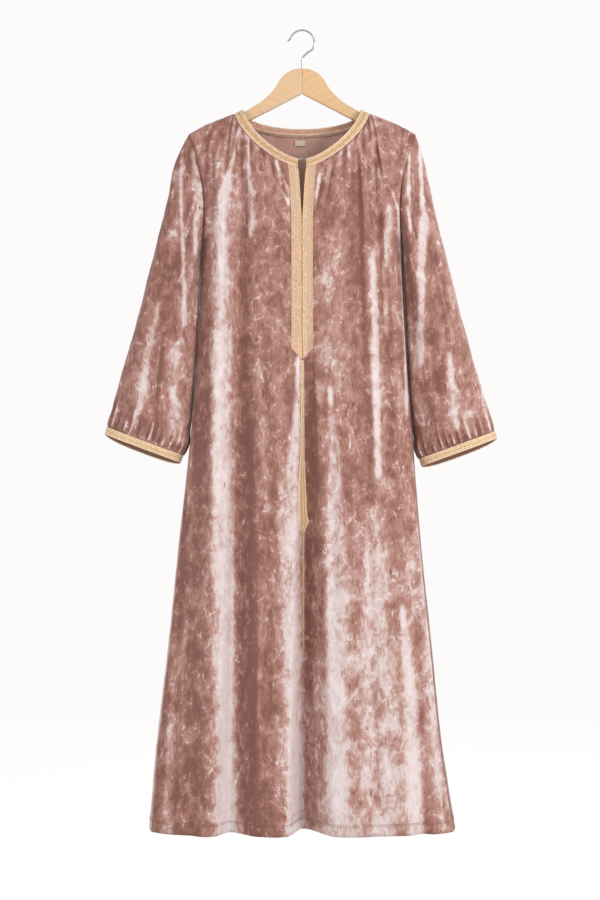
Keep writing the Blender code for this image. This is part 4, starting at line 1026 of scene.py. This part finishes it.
# %% Sleeve tables
Sleeve = namedtuple("Sleeve", "along outer outer_height inner inner_height front back")
SLEEVES = {
    -1: [
        Sleeve(0.00, 0.208, -0.1895, 0.1810, -0.385, 0.034, 0.026),
        Sleeve(0.10, 0.2310, -0.238, 0.1848, -0.428, 0.037, 0.030),
        Sleeve(0.25, 0.2490, -0.322, 0.1873, -0.489, 0.040, 0.033),
        Sleeve(0.45, 0.2765, -0.432, 0.1910, -0.567, 0.042, 0.036),
        Sleeve(0.65, 0.3045, -0.540, 0.1970, -0.647, 0.043, 0.038),
        Sleeve(0.85, 0.3360, -0.650, 0.2041, -0.727, 0.040, 0.037),
        Sleeve(0.94, 0.3480, -0.695, 0.2077, -0.757, 0.036, 0.034),
        Sleeve(1.00, 0.3555, -0.7235, 0.2180, -0.775, 0.030, 0.030),
    ],
    1: [
        Sleeve(0.00, 0.208, -0.1895, 0.1810, -0.385, 0.034, 0.026),
        Sleeve(0.10, 0.2225, -0.238, 0.1848, -0.428, 0.037, 0.030),
        Sleeve(0.25, 0.2410, -0.322, 0.1874, -0.490, 0.040, 0.033),
        Sleeve(0.45, 0.2680, -0.432, 0.1912, -0.570, 0.042, 0.036),
        Sleeve(0.65, 0.2960, -0.540, 0.1967, -0.651, 0.043, 0.038),
        Sleeve(0.85, 0.3280, -0.654, 0.2036, -0.738, 0.040, 0.037),
        Sleeve(0.94, 0.3425, -0.700, 0.2066, -0.765, 0.036, 0.034),
        Sleeve(1.00, 0.3515, -0.731, 0.2145, -0.781, 0.030, 0.030),
    ],
}
SLEEVE_ROUNDNESS = 2.4
CUFF_BACK_DROP = 0.011
CUFF_LENGTH = 0.0145
LEAN_IN = 0.0052
LEAN_DEPTH = 0.020
LEAN_SPREAD = 0.007
CUFF_WAVES = 27
SleeveFold = namedtuple("SleeveFold", "angle start stop rise half_angle")
SLEEVE_FOLDS = [
    SleeveFold(136, 0.00, 0.62, -0.011, 20), SleeveFold(106, 0.00, 0.75, 0.004, 20),
    SleeveFold(72, 0.06, 0.90, -0.005, 20), SleeveFold(42, 0.20, 0.97, 0.003, 18),
    SleeveFold(232, 0.05, 0.80, -0.006, 24), SleeveFold(296, 0.10, 0.92, -0.004, 24),
]
SLEEVE_CREASES = [
    SleeveFold(120, 0.10, 0.55, -0.0030, 8), SleeveFold(88, 0.04, 0.34, -0.0026, 7),
    SleeveFold(58, 0.30, 0.72, -0.0024, 8), SleeveFold(100, 0.50, 0.92, -0.0024, 9),
    SleeveFold(254, 0.08, 0.46, -0.0028, 9), SleeveFold(276, 0.40, 0.85, -0.0024, 9),
]
CUFF_GATHER = 0.0028
CUFF_GATHER_LENGTH = 0.13


def turned_away(angle, centre):
    return np.abs((angle - centre + 180) % 360 - 180)


def sleeve_rise(table, angle, along):
    total = np.zeros(np.broadcast(angle, along).shape)
    for fold in table:
        away = np.minimum(turned_away(angle, fold.angle) / fold.half_angle, 1.0)
        length = fold.stop - fold.start
        fade = ease((along - fold.start) / (0.25 * length)) * ease((fold.stop - along) / (0.5 * length))
        total += fold.rise * fade * np.cos(math.pi * away / 2) ** 2
    return total


def sleeve_rings(side, along, angle):
    """Rings of points at places along the sleeve, one for each angle in radians."""
    angle, along = np.meshgrid(angle, along)
    table = SLEEVES[side]
    places = column(table, "along")
    value = {name: table_curve(along, places, column(table, name)) for name in Sleeve._fields[1:]}
    outer = np.stack([side * value["outer"], 0 * along, value["outer_height"]], axis=-1)
    inner = np.stack([side * value["inner"], 0 * along, value["inner_height"]], axis=-1)
    centre, half = (outer + inner) / 2, (outer - inner) / 2
    length = np.linalg.norm(half, axis=-1)
    cosine, sine = np.cos(angle), np.sin(angle)
    long_way = np.copysign(np.abs(cosine) ** (2 / SLEEVE_ROUNDNESS), cosine)
    short_way = np.copysign(np.abs(sine) ** (2 / SLEEVE_ROUNDNESS), sine)
    depth = np.where(sine > 0, value["front"], value["back"])
    degrees = np.degrees(angle)
    rise = sleeve_rise(SLEEVE_FOLDS, degrees, along) + sleeve_rise(SLEEVE_CREASES, degrees, along)
    points = centre + half * (long_way * (1 + rise / length))[..., None]
    points[..., 1] = -short_way * (depth + rise)
    points[..., 2] += np.minimum(short_way, 0.0) * CUFF_BACK_DROP * ease(along)
    behind = np.exp(-(((points[..., 1] - LEAN_DEPTH) / LEAN_SPREAD) ** 2)) * ease(-2 * cosine)
    points[..., 0] -= side * LEAN_IN * behind * ease((along - 0.02) / 0.10) * ease((1 - along) / 0.08)
    return points


print("sleeves", round(SLEEVES[1][-1].outer - SHOULDER_TIP.across, 3), "m outwards")

# %% Sleeves
ARMHOLE_REACH = 0.45
SLEEVE_SEAM_REACH = 0.012
SLEEVE_SEAM_DIP = SEAM_DIP * 0.7
CUFF_GATHER_HIGHLIGHT = 0.74
GATHER_SHADE = 0.15
SLEEVE_STEPS = 150
SLEEVE_POINTS = 240


def armhole_ring(side):
    edge = 0 if side < 0 else -1
    down = front_grid[: YOKE_ROWS * YOKE_STEPS + 1, edge]
    up = back_grid[YOKE_ROWS * YOKE_STEPS - 1 : 0 : -1, edge]
    return np.concatenate([down, up])


def even_angles(side):
    """Angles round the sleeve that give even steps round its cuff."""
    fine = np.linspace(0, 2 * math.pi, 2001)
    run = distance_along(sleeve_rings(side, np.array([0.9]), fine)[0])
    half = SLEEVE_POINTS // 2
    front = np.interp(np.linspace(0, run[1000], half, endpoint=False), run, fine)
    back = np.interp(np.linspace(run[1000], run[-1], half, endpoint=False), run, fine)
    return np.concatenate([front, back])


def seam_at(side, angle):
    seam = armhole_ring(side)
    closed = np.concatenate([seam, seam[:1]])
    places = np.linspace(0, 2 * math.pi, len(closed))
    return point_at(angle, places, closed)


def build_sleeve(side, word):
    angle = even_angles(side)
    seam = seam_at(side, angle)
    along = np.linspace(0, 1, SLEEVE_STEPS + 1)
    grid = sleeve_rings(side, along, angle)
    rest = seam - grid[0]
    grid = grid + rest[None] * (1 - ease(along / ARMHOLE_REACH))[:, None, None]
    centre = grid.mean(axis=1, keepdims=True)
    out = (grid - centre) / np.linalg.norm(grid - centre, axis=-1, keepdims=True)
    turn = 2 * math.pi * np.arange(SLEEVE_POINTS) / SLEEVE_POINTS
    uneven = turn + 0.05 * np.sin(3 * turn + side) + 0.03 * np.sin(7 * turn)
    wave = (np.cos(CUFF_WAVES * uneven) + 0.25 * np.cos(11 * uneven + 1))[None, :] / 1.25
    length = CUFF_GATHER_LENGTH * (1 + 0.45 * np.sin(9 * turn + 2 * side))[None, :]
    share = ease(1 - (1 - along)[:, None] / length) * ease((1 - along) / 0.012)[:, None]
    grid = grid + out * (CUFF_GATHER * wave * share)[..., None]
    normal = facing(grid_normals(grid, wrap=True), out)
    calm = ease(along / 0.08) * ease((1 - along) / 0.05)
    in_front = ease(0.5 - 2 * normal[..., 1])
    streaks = mix(
        streak_pile_and_light("sleeve_back", grid[..., 0] * side, grid[..., 2]),
        streak_pile_and_light("sleeve_" + word, grid[..., 0], grid[..., 2]), in_front,
    )
    by_seam = np.exp(-((along / SLEEVE_SEAM_REACH) ** 2))[:, None]
    moved = dents(grid, DENT_SEEDS["sleeves"] + side) * calm[:, None] - SLEEVE_SEAM_DIP * by_seam
    moved = moved + streaks * STREAK_RIDGE * calm[:, None]
    grid = grid + normal * moved[..., None]
    normal = facing(grid_normals(grid, wrap=True), out)
    # Painted light and shade by the slope of the cloth, as on the panels.
    pile_and_light = streaks + slope_painted_light(normal) * np.where(normal[..., 1] < 0, 1, -1)
    pile_and_light = pile_and_light + (RIGHT_DEEPENING if side > 0 else 0)
    pile_and_light = pile_and_light - SEAM_SHADE * by_seam
    # Painted highlights on the ridges of the cuff's gathers, and painted shade over the gathered part.
    pile_and_light = pile_and_light + share * (CUFF_GATHER_HIGHLIGHT * np.maximum(wave, 0.0) ** 2 - GATHER_SHADE)
    obj = add_shell("sleeve_" + word + "_velvet", grid, normal, [velvet, reverse],
                    ("sleeve_" + word,), wrap=True, values={"pile_and_light": pile_and_light})
    return obj, grid


sleeves = {side: build_sleeve(side, word) for side, word in ((-1, "left"), (1, "right"))}
print("sleeve grid", sleeves[1][1].shape[:2])

# %% [markdown]
# ## Braid pieces
#
# A braid piece is a narrow grid: rows across the braid, columns along it. The relief is a row of half
# rounds, one for each cord. The twist counts plaits along the braid and leans with the distance from its
# middle, which gives the herringbone of a flat plait.

# %% Braid helpers
PLAIT_PITCH = 0.0042
PLAIT_SLANT = 2.2
TONE_TOP = 0.999
BAND_FLAT = 0.0165
Cord = namedtuple("Cord", "centre half height")
BAND_CORDS = [
    Cord(0.09, 0.09, 0.0009), Cord(0.27, 0.09, 0.0007), Cord(0.40, 0.04, 0.0006), Cord(0.50, 0.05, 0.0004),
    Cord(0.60, 0.04, 0.0006), Cord(0.73, 0.09, 0.0007), Cord(0.91, 0.09, 0.0009),
]
PLACKET_CORDS = [
    Cord(0.0, 0.17, 0.0009), Cord(0.22, 0.05, 0.0004), Cord(0.305, 0.035, 0.0005),
    Cord(0.40, 0.06, 0.0004), Cord(0.50, 0.035, 0.0006), Cord(0.60, 0.06, 0.0004),
    Cord(0.695, 0.035, 0.0005), Cord(0.78, 0.05, 0.0004), Cord(0.915, 0.085, 0.0009),
]
NARROW_CORDS = [Cord(0.16, 0.16, 0.0008), Cord(0.5, 0.18, 0.0007), Cord(0.84, 0.16, 0.0008)]


def cord_relief(cords, t):
    total = np.zeros(t.shape)
    for cord in cords:
        away = np.minimum(np.abs(t - cord.centre) / cord.half, 1.0)
        total = np.maximum(total, cord.height * np.sqrt(1 - away**2))
    return total


def run_along(grid):
    """Distance along a braid at each column, measured on its middle row."""
    return distance_along(grid[grid.shape[0] // 2])


def build_braid(name, grid, towards, across, cords, materials, proud, thick, replaced=(), wrap=False,
                width=BAND_FLAT):
    """A braid with its cords' relief. across is where each row lies, from 0 to 1."""
    normal = facing(grid_normals(grid, wrap), towards)
    raised = grid + normal * (proud + cord_relief(cords, across))[:, None, None]
    slant = PLAIT_SLANT * np.abs(across - 0.5)[:, None] * width / PLAIT_PITCH
    twist = run_along(grid)[None, :] / PLAIT_PITCH + slant
    tone = np.repeat(across[:, None], grid.shape[1], axis=1)
    return add_shell(name, raised, normal, materials, replaced, wrap=wrap, thick=thick,
                     values={"twist": twist, "tone": np.minimum(tone, TONE_TOP)})

# %% Neck band
TO_THE_FRONT = (0, -1, 0)
BAND_ACROSS = np.linspace(0, 1, 41)
BAND_PROUD = 0.0004
BAND_THICK = 0.0018
FACING_GAP = 0.0003
FACING_CORDS = [Cord(0.09, 0.09, 0.0008), Cord(0.68, 0.08, 0.0008)]


def band_grid(face, side):
    columns = steps(SHOULDER_COLUMNS, last_column(face), 8)
    row, place = BAND_ACROSS[:, None], columns[None, :]
    across = neck_across(face, row, place)
    return surface(face, side * across, neck_curve(face, row, across))


def build_band(face, side, name):
    if face == "back":
        left = band_grid(face, -1)
        grid = np.concatenate([left, band_grid(face, 1)[:, ::-1][:, 1:]], axis=1)
    else:
        grid = band_grid(face, side)
    towards = (0, -1 if face == "front" else 1, 0)
    band = build_braid(name + "_braid", grid, towards, BAND_ACROSS, BAND_CORDS, [band_braid], BAND_PROUD,
                       BAND_THICK, (name,))
    inner = grid - facing(grid_normals(grid), towards) * (BAND_THICK - BAND_PROUD + FACING_GAP)
    plain_side = build_braid(name + "_facing", inner, (0, -towards[1], 0), BAND_ACROSS, FACING_CORDS,
                             [facing_braid], 0.0, 0.0)
    return band, plain_side, grid


neck = {
    "left": build_band("front", -1, "neck_band_left"),
    "right": build_band("front", 1, "neck_band_right"),
    "back": build_band("back", 0, "neck_band_back"),
}
print("neck band", round(sum(run_along(piece[2])[-1] for piece in neck.values()), 3), "m round")

# %% [markdown]
# ## The placket, the centre braid and the cuffs
#
# The placket's two strips lie beside the slit, meet below it and end in one point. The narrow braid
# starts under that point, widens to a leaf and goes on as a fine cord. All three lie on the front: each
# point is looked up on the front's own form and moved out.

# %% Placket
PLACKET_SQUARE_END = -0.584
PLACKET_POINT = -0.603
ROWS_BELOW_YOKE = 4
STRIP_PROUD = 0.0006
STRIP_THICK = 0.0009


def build_placket(side, word):
    t = np.linspace(0, 1, 41)
    rows = panel_rows()
    rows = rows[rows <= YOKE_ROWS + ROWS_BELOW_YOKE]
    columns = SHOULDER_COLUMNS + NECK_COLUMNS["front"] + np.interp(
        t * PLACKET_WIDTHS[0], PLACKET_WIDTHS[::-1], range(PLACKET_COLUMNS, -1, -1)
    )
    grid = np.stack([panel_points("front", side, np.array([c]), rows)[:, 0] for c in columns])
    top, floor = grid[:, :1, 2], PLACKET_POINT + (PLACKET_SQUARE_END - PLACKET_POINT) * t[:, None]
    share = np.linspace(0, 1, 180)[None, :]
    height = mix(top, floor, share)
    across = np.stack([np.interp(-height[n], -grid[n, :, 2], grid[n, :, 0]) for n in range(len(t))])
    grid = surface("front", across, height)
    return build_braid("placket_" + word + "_braid", grid, TO_THE_FRONT, t, PLACKET_CORDS, [placket_braid],
                       STRIP_PROUD, STRIP_THICK, ("placket_" + word,), width=PLACKET_WIDTHS[0])


plackets = [build_placket(side, word) for side, word in ((-1, "left"), (1, "right"))]
print("placket", round(NECK_TOP.height - PLACKET_POINT, 3), "m below the neck point")

# %% Centre braid
NARROW_FLAT = 0.008
Braid = namedtuple("Braid", "height left right")
CENTRE_BRAID = [
    Braid(-0.6045, -0.0024, 0.0032), Braid(-0.711, -0.0024, 0.0038), Braid(-0.783, -0.0036, 0.0046),
    Braid(-0.824, -0.0066, 0.0070), Braid(-0.872, -0.0066, 0.0092), Braid(-0.887, -0.0066, 0.0108),
    Braid(-0.894, -0.0066, 0.0138), Braid(-0.904, -0.0066, 0.0088), Braid(-0.918, 0.0006, 0.0044),
    Braid(-1.141, 0.0006, 0.0038),
]
t = np.linspace(0, 1, 17)
height = np.linspace(CENTRE_BRAID[0].height, CENTRE_BRAID[-1].height, 400)
falls = [-row.height for row in CENTRE_BRAID]
left, right = (np.interp(-height, falls, column(CENTRE_BRAID, edge)) for edge in ("left", "right"))
across = mix(left[None, :], right[None, :], t[:, None])
grid = surface("front", across, np.repeat(height[None, :], len(t), axis=0))
centre_braid = build_braid("centre_braid_cord", grid, TO_THE_FRONT, t, NARROW_CORDS, [narrow_braid],
                           STRIP_PROUD, STRIP_THICK, ("centre_braid",), width=NARROW_FLAT)
print("centre braid", round(CENTRE_BRAID[0].height - CENTRE_BRAID[-1].height, 3), "m long")

# %% Cuffs
CUFF_ACROSS = np.linspace(0, 1, 31)
CUFF_CORDS = [
    Cord(0.12, 0.12, 0.0009), Cord(0.38, 0.13, 0.0007), Cord(0.62, 0.11, 0.0007), Cord(0.88, 0.12, 0.0009),
]


def build_cuff(side, word):
    sleeve = sleeves[side][1]
    direction = sleeve[-1].mean(axis=0) - sleeve[-12].mean(axis=0)
    direction /= np.linalg.norm(direction)
    grid = sleeve[-1][None] + direction * (CUFF_LENGTH * CUFF_ACROSS)[:, None, None]
    out = grid - grid.mean(axis=1, keepdims=True)
    return build_braid("cuff_band_" + word + "_braid", grid, out, CUFF_ACROSS, CUFF_CORDS,
                       [cuff_braid, inside_and_shade], BAND_PROUD, BAND_THICK, ("cuff_band_" + word,), wrap=True,
                       width=CUFF_LENGTH)


cuffs = [build_cuff(side, word) for side, word in ((-1, "left"), (1, "right"))]
print("cuffs", [round(float(run_along(sleeves[side][1][-1:])[-1]), 3) for side in (-1, 1)], "m round")

# %% [markdown]
# ## Stitches
#
# The hem is turned up and held by two rows of machine stitches, and a small stitched rectangle marks its
# middle. A short row of yellow stitches shows inside the back of the neck. A stitch is a short bar with
# pinched ends that follows the cloth. One mesh holds each row.

# %% Stitching
STITCH_LENGTH = 0.0032
STITCH_GAP = 0.0012
STITCH_HALF = 0.00055
STITCH_LIFT = 0.0003
STITCH_ROUND = 0.0006
HEM_ROWS = (0.0180, 0.0210)
ROWS_BY_HEM = 60
# The rose thread is darkened with painted shade of the groove that the stitching pulls into the cloth.
thread, tree, shader = new_material("rose thread", (0.235, 0.115, 0.095), 0.6)
add_bump(tree, shader, noise_node(tree, stretched(tree), 2500.0, 2.0), 0.0002, 0.4)


def add_stitches(name, path, normals, cotton=thread, half=STITCH_HALF):
    """Small bars along a path of points, which lie on the cloth with the normals given."""
    distance = distance_along(path)
    points, faces = [], []
    start = STITCH_GAP
    while start + STITCH_LENGTH < distance[-1]:
        ends = [start, start + STITCH_LENGTH * 0.5, start + STITCH_LENGTH]
        spots = [point_at(end, distance, path) for end in ends]
        out = point_at(ends[1], distance, normals)
        along = spots[2] - spots[0]
        side = np.cross(along, out)
        side /= np.linalg.norm(side)
        first = len(points)
        for spot, wide, high in zip(spots, (0.4, 1.0, 0.4), (0.0, 1.0, 0.0)):
            lift = out * (STITCH_LIFT + STITCH_ROUND * high)
            points += [spot + side * half * wide, spot + lift, spot - side * half * wide]
        for n in (0, 3):
            a = first + n
            faces += [(a, a + 3, a + 4, a + 1), (a + 1, a + 4, a + 5, a + 2)]
        start += STITCH_LENGTH + STITCH_GAP
    mesh = bpy.data.meshes.new(name)
    mesh.from_pydata([tuple(p) for p in points], [], faces)
    mesh.materials.append(cotton)
    return add_piece(name, mesh)


def level_line(grid, normal, height):
    """Where a panel's columns cross a height near the hem, with the normals there."""
    path, out = [], []
    for n in range(1, grid.shape[1] - 1):
        falls = -grid[-ROWS_BY_HEM:, n, 2]
        path.append(point_at(-height, falls, grid[-ROWS_BY_HEM:, n]))
        out.append(point_at(-height, falls, normal[-ROWS_BY_HEM:, n]))
    out = np.array(out)
    return np.array(path) + out * 0.0001, out


for face, grid, normal in (("front", front_grid, front_normal), ("back", back_grid, back_normal)):
    for number, up in enumerate(HEM_ROWS):
        path, out = level_line(grid, normal, HEM + up)
        add_stitches(f"hem_stitches_{face}_{number + 1}", path, out)

# %% Stitched rectangle
MARK_PROUD = 0.0012
MARK = {"left": -0.018, "right": 0.011, "top": -1.422, "low": -1.443}
corners = [(MARK["left"], MARK["low"]), (MARK["left"], MARK["top"]), (MARK["right"], MARK["top"]),
           (MARK["right"], MARK["low"])]
outline = []
for (x0, z0), (x1, z1) in zip(corners, corners[1:]):
    share = np.linspace(0, 1, 30)
    outline.append(np.stack([mix(x0, x1, share), mix(z0, z1, share)], axis=-1))
outline = np.concatenate(outline)
path = surface("front", outline[:, 0], outline[:, 1])
out = np.tile(TO_THE_FRONT, (len(path), 1))
add_stitches("hem_mark_stitches", path + (0, -MARK_PROUD, 0), out)
print("rectangle", round(MARK["right"] - MARK["left"], 3), "m wide")

# %% Centre-back stitches
CENTRE_BACK = (-0.1770, -0.2015)
CENTRE_BACK_ACROSS = 0.0006
CENTRE_BACK_INWARDS = 0.0034
YELLOW_HALF = 0.0009
yellow_thread, tree, shader = new_material("yellow thread", (0.80, 0.56, 0.22), 0.6)
height = np.linspace(*CENTRE_BACK, 30)
path = surface("back", 0 * height + CENTRE_BACK_ACROSS, height) - (0, CENTRE_BACK_INWARDS, 0)
out = np.tile(TO_THE_FRONT, (len(path), 1))
add_stitches("centre_back_stitches", path, out, yellow_thread, YELLOW_HALF)
print("centre back", round(height[0] - height[-1], 3), "m of stitches")

# %% [markdown]
# ## The tag and the clasp
#
# A folded tape tag is sewn inside the back of the neck. It is blank. The hook and eye keep the frame's
# own wires, which have the right shape, and get polished steel.

# %% Tag
tape, tree, shader = new_material("tape", (0.62, 0.50, 0.40), 0.85)
weave = add_node(tree, "ShaderNodeTexWave", {"Scale": 420.0, "Vector": stretched(tree)})
add_bump(tree, shader, weave.outputs["Fac"], 0.0002, 0.5)
TAG_THICK = 0.0004
low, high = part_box("size_tag")
t = np.linspace(0, 1, 13)
across = mix(low.x, high.x, t)[None, :]
height = mix(high.z, low.z, t)[:, None]
grid = surface("back", across + 0 * height, height + 0 * across)
grid[..., 1] -= 0.0026 + 0.0006 * np.sin(math.pi * t)[None, :] + 0.0005 * t[:, None]
tag = add_shell("neck_tag", grid, facing(grid_normals(grid), TO_THE_FRONT), [tape], ("size_tag",),
                thick=TAG_THICK)
print("tag", round((high.x - low.x) * 1000), "mm wide")

# %% Steel
steel, tree, shader = new_material("polished steel", (0.42, 0.42, 0.43), 0.16, 1.0)
wear = noise_node(tree, stretched(tree), 60.0, 4.0)
tree.links.new(math_node(tree, "MULTIPLY_ADD", wear, 0.16, 0.08), shader.inputs["Roughness"])
for name in ("clasp_hook", "clasp_eye"):
    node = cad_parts[name]
    node.data.materials.clear()
    node.data.materials.append(steel)
print("steel on the clasp")

# %% [markdown]
# ## The hanger
#
# A flat hanger of pale varnished wood in two halves, glued at the middle: the right half is a shade
# warmer and a fine dark line shows where they meet. The grain runs along each arm, so its coordinates are
# turned to the slope of that arm. Each half is a flat outline made into a plate of faces, and a Bevel
# modifier rounds it.

# %% Wood
ARM_SLOPE = math.radians(27)


def wood_material(name, lean, light, dark):
    material, tree, shader = new_material(name, light, 0.36)
    place = add_node(tree, "ShaderNodeTexCoord").outputs["Object"]
    turned = add_node(tree, "ShaderNodeMapping", {"Vector": place, "Rotation": (0, lean, 0)})
    sockets = {"Vector": turned.outputs["Vector"], "Scale": (0.05, 1.0, 1.0)}
    long_grain = add_node(tree, "ShaderNodeMapping", sockets).outputs["Vector"]
    grain = noise_node(tree, long_grain, 260.0, 6.0, 0.6, 0.3)
    pores = noise_node(tree, long_grain, 1400.0, 3.0)
    colour_by(tree, shader, grain, [(0.30, dark), (0.55, light), (0.80, light)])
    add_bump(tree, shader, math_node(tree, "MULTIPLY_ADD", pores, 0.5, grain), 0.0002, 0.35)
    shader.inputs["Coat Weight"].default_value = 0.35
    shader.inputs["Coat Roughness"].default_value = 0.25
    return material


wood = {
    -1: wood_material("pale wood left", -ARM_SLOPE, (0.655, 0.440, 0.248), (0.605, 0.380, 0.195)),
    1: wood_material("pale wood right", ARM_SLOPE, (0.665, 0.430, 0.225), (0.605, 0.362, 0.172)),
}
print("wood:", wood[-1].name, "and", wood[1].name)

# %% Hanger's arms
WOOD_THICK = 0.011
WOOD_BEVEL = 0.0045
WOOD_CLEARANCE = 0.0042
WOOD_HALF = 0.197
JOINT_GAP = 0.00012
WOOD_CROWN = [
    Point(0.000, -0.0690), Point(0.015, -0.0706), Point(0.028, -0.0770), Point(0.040, -0.0888),
    Point(0.0485, -0.1030), Point(0.059, -0.1156), Point(0.074, -0.1290), Point(0.091, -0.1395),
    Point(0.107, -0.1490),
]
WOOD_UNDERSIDE = [
    Point(0.000, -0.1150), Point(0.050, -0.1405), Point(0.097, -0.1645), Point(0.150, -0.1880),
    Point(0.197, -0.2045),
]


def arm_outline():
    tip = WOOD_HALF - WOOD_BEVEL
    beyond = [p.across for p in SHOULDER_LINE if WOOD_CROWN[-1].across < p.across < tip] + [tip]
    crown = WOOD_CROWN + [Point(x, float(shoulder_height(x)) - WOOD_CLEARANCE) for x in beyond]
    x = np.linspace(0, tip, 60)
    upper = table_curve(x, column(crown, "across"), column(crown, "height"))
    lower = table_curve(x, column(WOOD_UNDERSIDE, "across"), column(WOOD_UNDERSIDE, "height"))
    middle, radius = (upper[-1] + lower[-1]) / 2, (upper[-1] - lower[-1]) / 2
    turn = math.pi / 2 - math.pi * np.arange(1, 12) / 12
    end = np.stack([tip + radius * 0.45 * np.cos(turn), middle + radius * np.sin(turn)], axis=-1)
    return np.concatenate([np.stack([x, upper], -1), end, np.stack([x, lower], -1)[::-1]])


def build_arm(side, word, replaced=()):
    outline = arm_outline()
    outline[:, 0] = np.maximum(outline[:, 0], JOINT_GAP) * side
    if side < 0:
        outline = outline[::-1]
    mesh = bpy.data.meshes.new("hanger_arm_" + word)
    count = len(outline)
    points = [(x, y, z) for y in (-WOOD_THICK / 2, WOOD_THICK / 2) for x, z in outline]
    faces = [tuple(range(count)), tuple(range(2 * count - 1, count - 1, -1))]
    faces += [(n, n + count, (n + 1) % count + count, (n + 1) % count) for n in range(count)]
    mesh.from_pydata(points, [], faces)
    mesh.materials.append(wood[side])
    obj = add_piece("hanger_arm_" + word, mesh, replaced)
    rounded = obj.modifiers.new("rounded edges", "BEVEL")
    rounded.width = WOOD_BEVEL
    rounded.segments = 5
    rounded.limit_method = "ANGLE"
    rounded.angle_limit = math.radians(60)
    rounded.use_clamp_overlap = True
    mesh.polygons.foreach_set("use_smooth", [True] * len(mesh.polygons))
    sharp = obj.modifiers.new("even shading", "WEIGHTED_NORMAL")
    sharp.keep_sharp = True


build_arm(-1, "left", ("hanger_wood",))
build_arm(1, "right")
print("arms reach", WOOD_HALF, "m each way")

# %% Hanger's hook
HOOK_WIRE = 0.0036
HOOK_RADIUS = 0.0226
HOOK_NECK = [Point(0.0, -0.0840), Point(0.0, -0.0600), Point(0.0, -0.0520), Point(0.0032, -0.0455),
             Point(0.0105, -0.0390)]
HOOK_ARC = (-36, 164)
HOOK_STEPS = 36
HOOK_TIP = Point(-0.0262, -0.0180)

centre = HOOK_WIRE / 2 - HOOK_RADIUS
route = [(p.across, p.height) for p in HOOK_NECK]
for n in range(HOOK_STEPS + 1):
    turn = math.radians(mix(*HOOK_ARC, n / HOOK_STEPS))
    route.append((HOOK_RADIUS * math.cos(turn), centre + HOOK_RADIUS * math.sin(turn)))
route.append(tuple(HOOK_TIP))
wire = bpy.data.curves.new("hanger_hook_wire", "CURVE")
wire.dimensions = "3D"
wire.bevel_depth = HOOK_WIRE / 2
wire.bevel_resolution = 6
wire.use_fill_caps = True
spline = wire.splines.new("POLY")
spline.points.add(len(route) - 1)
for spot, (x, z) in zip(spline.points, route):
    spot.co = (x, 0, z, 1)
spline.use_smooth = True
wire.materials.append(steel)
add_piece("hanger_hook_wire", wire, ("hanger_hook",))
print("hook", round(2 * HOOK_RADIUS + HOOK_WIRE, 4), "m across")
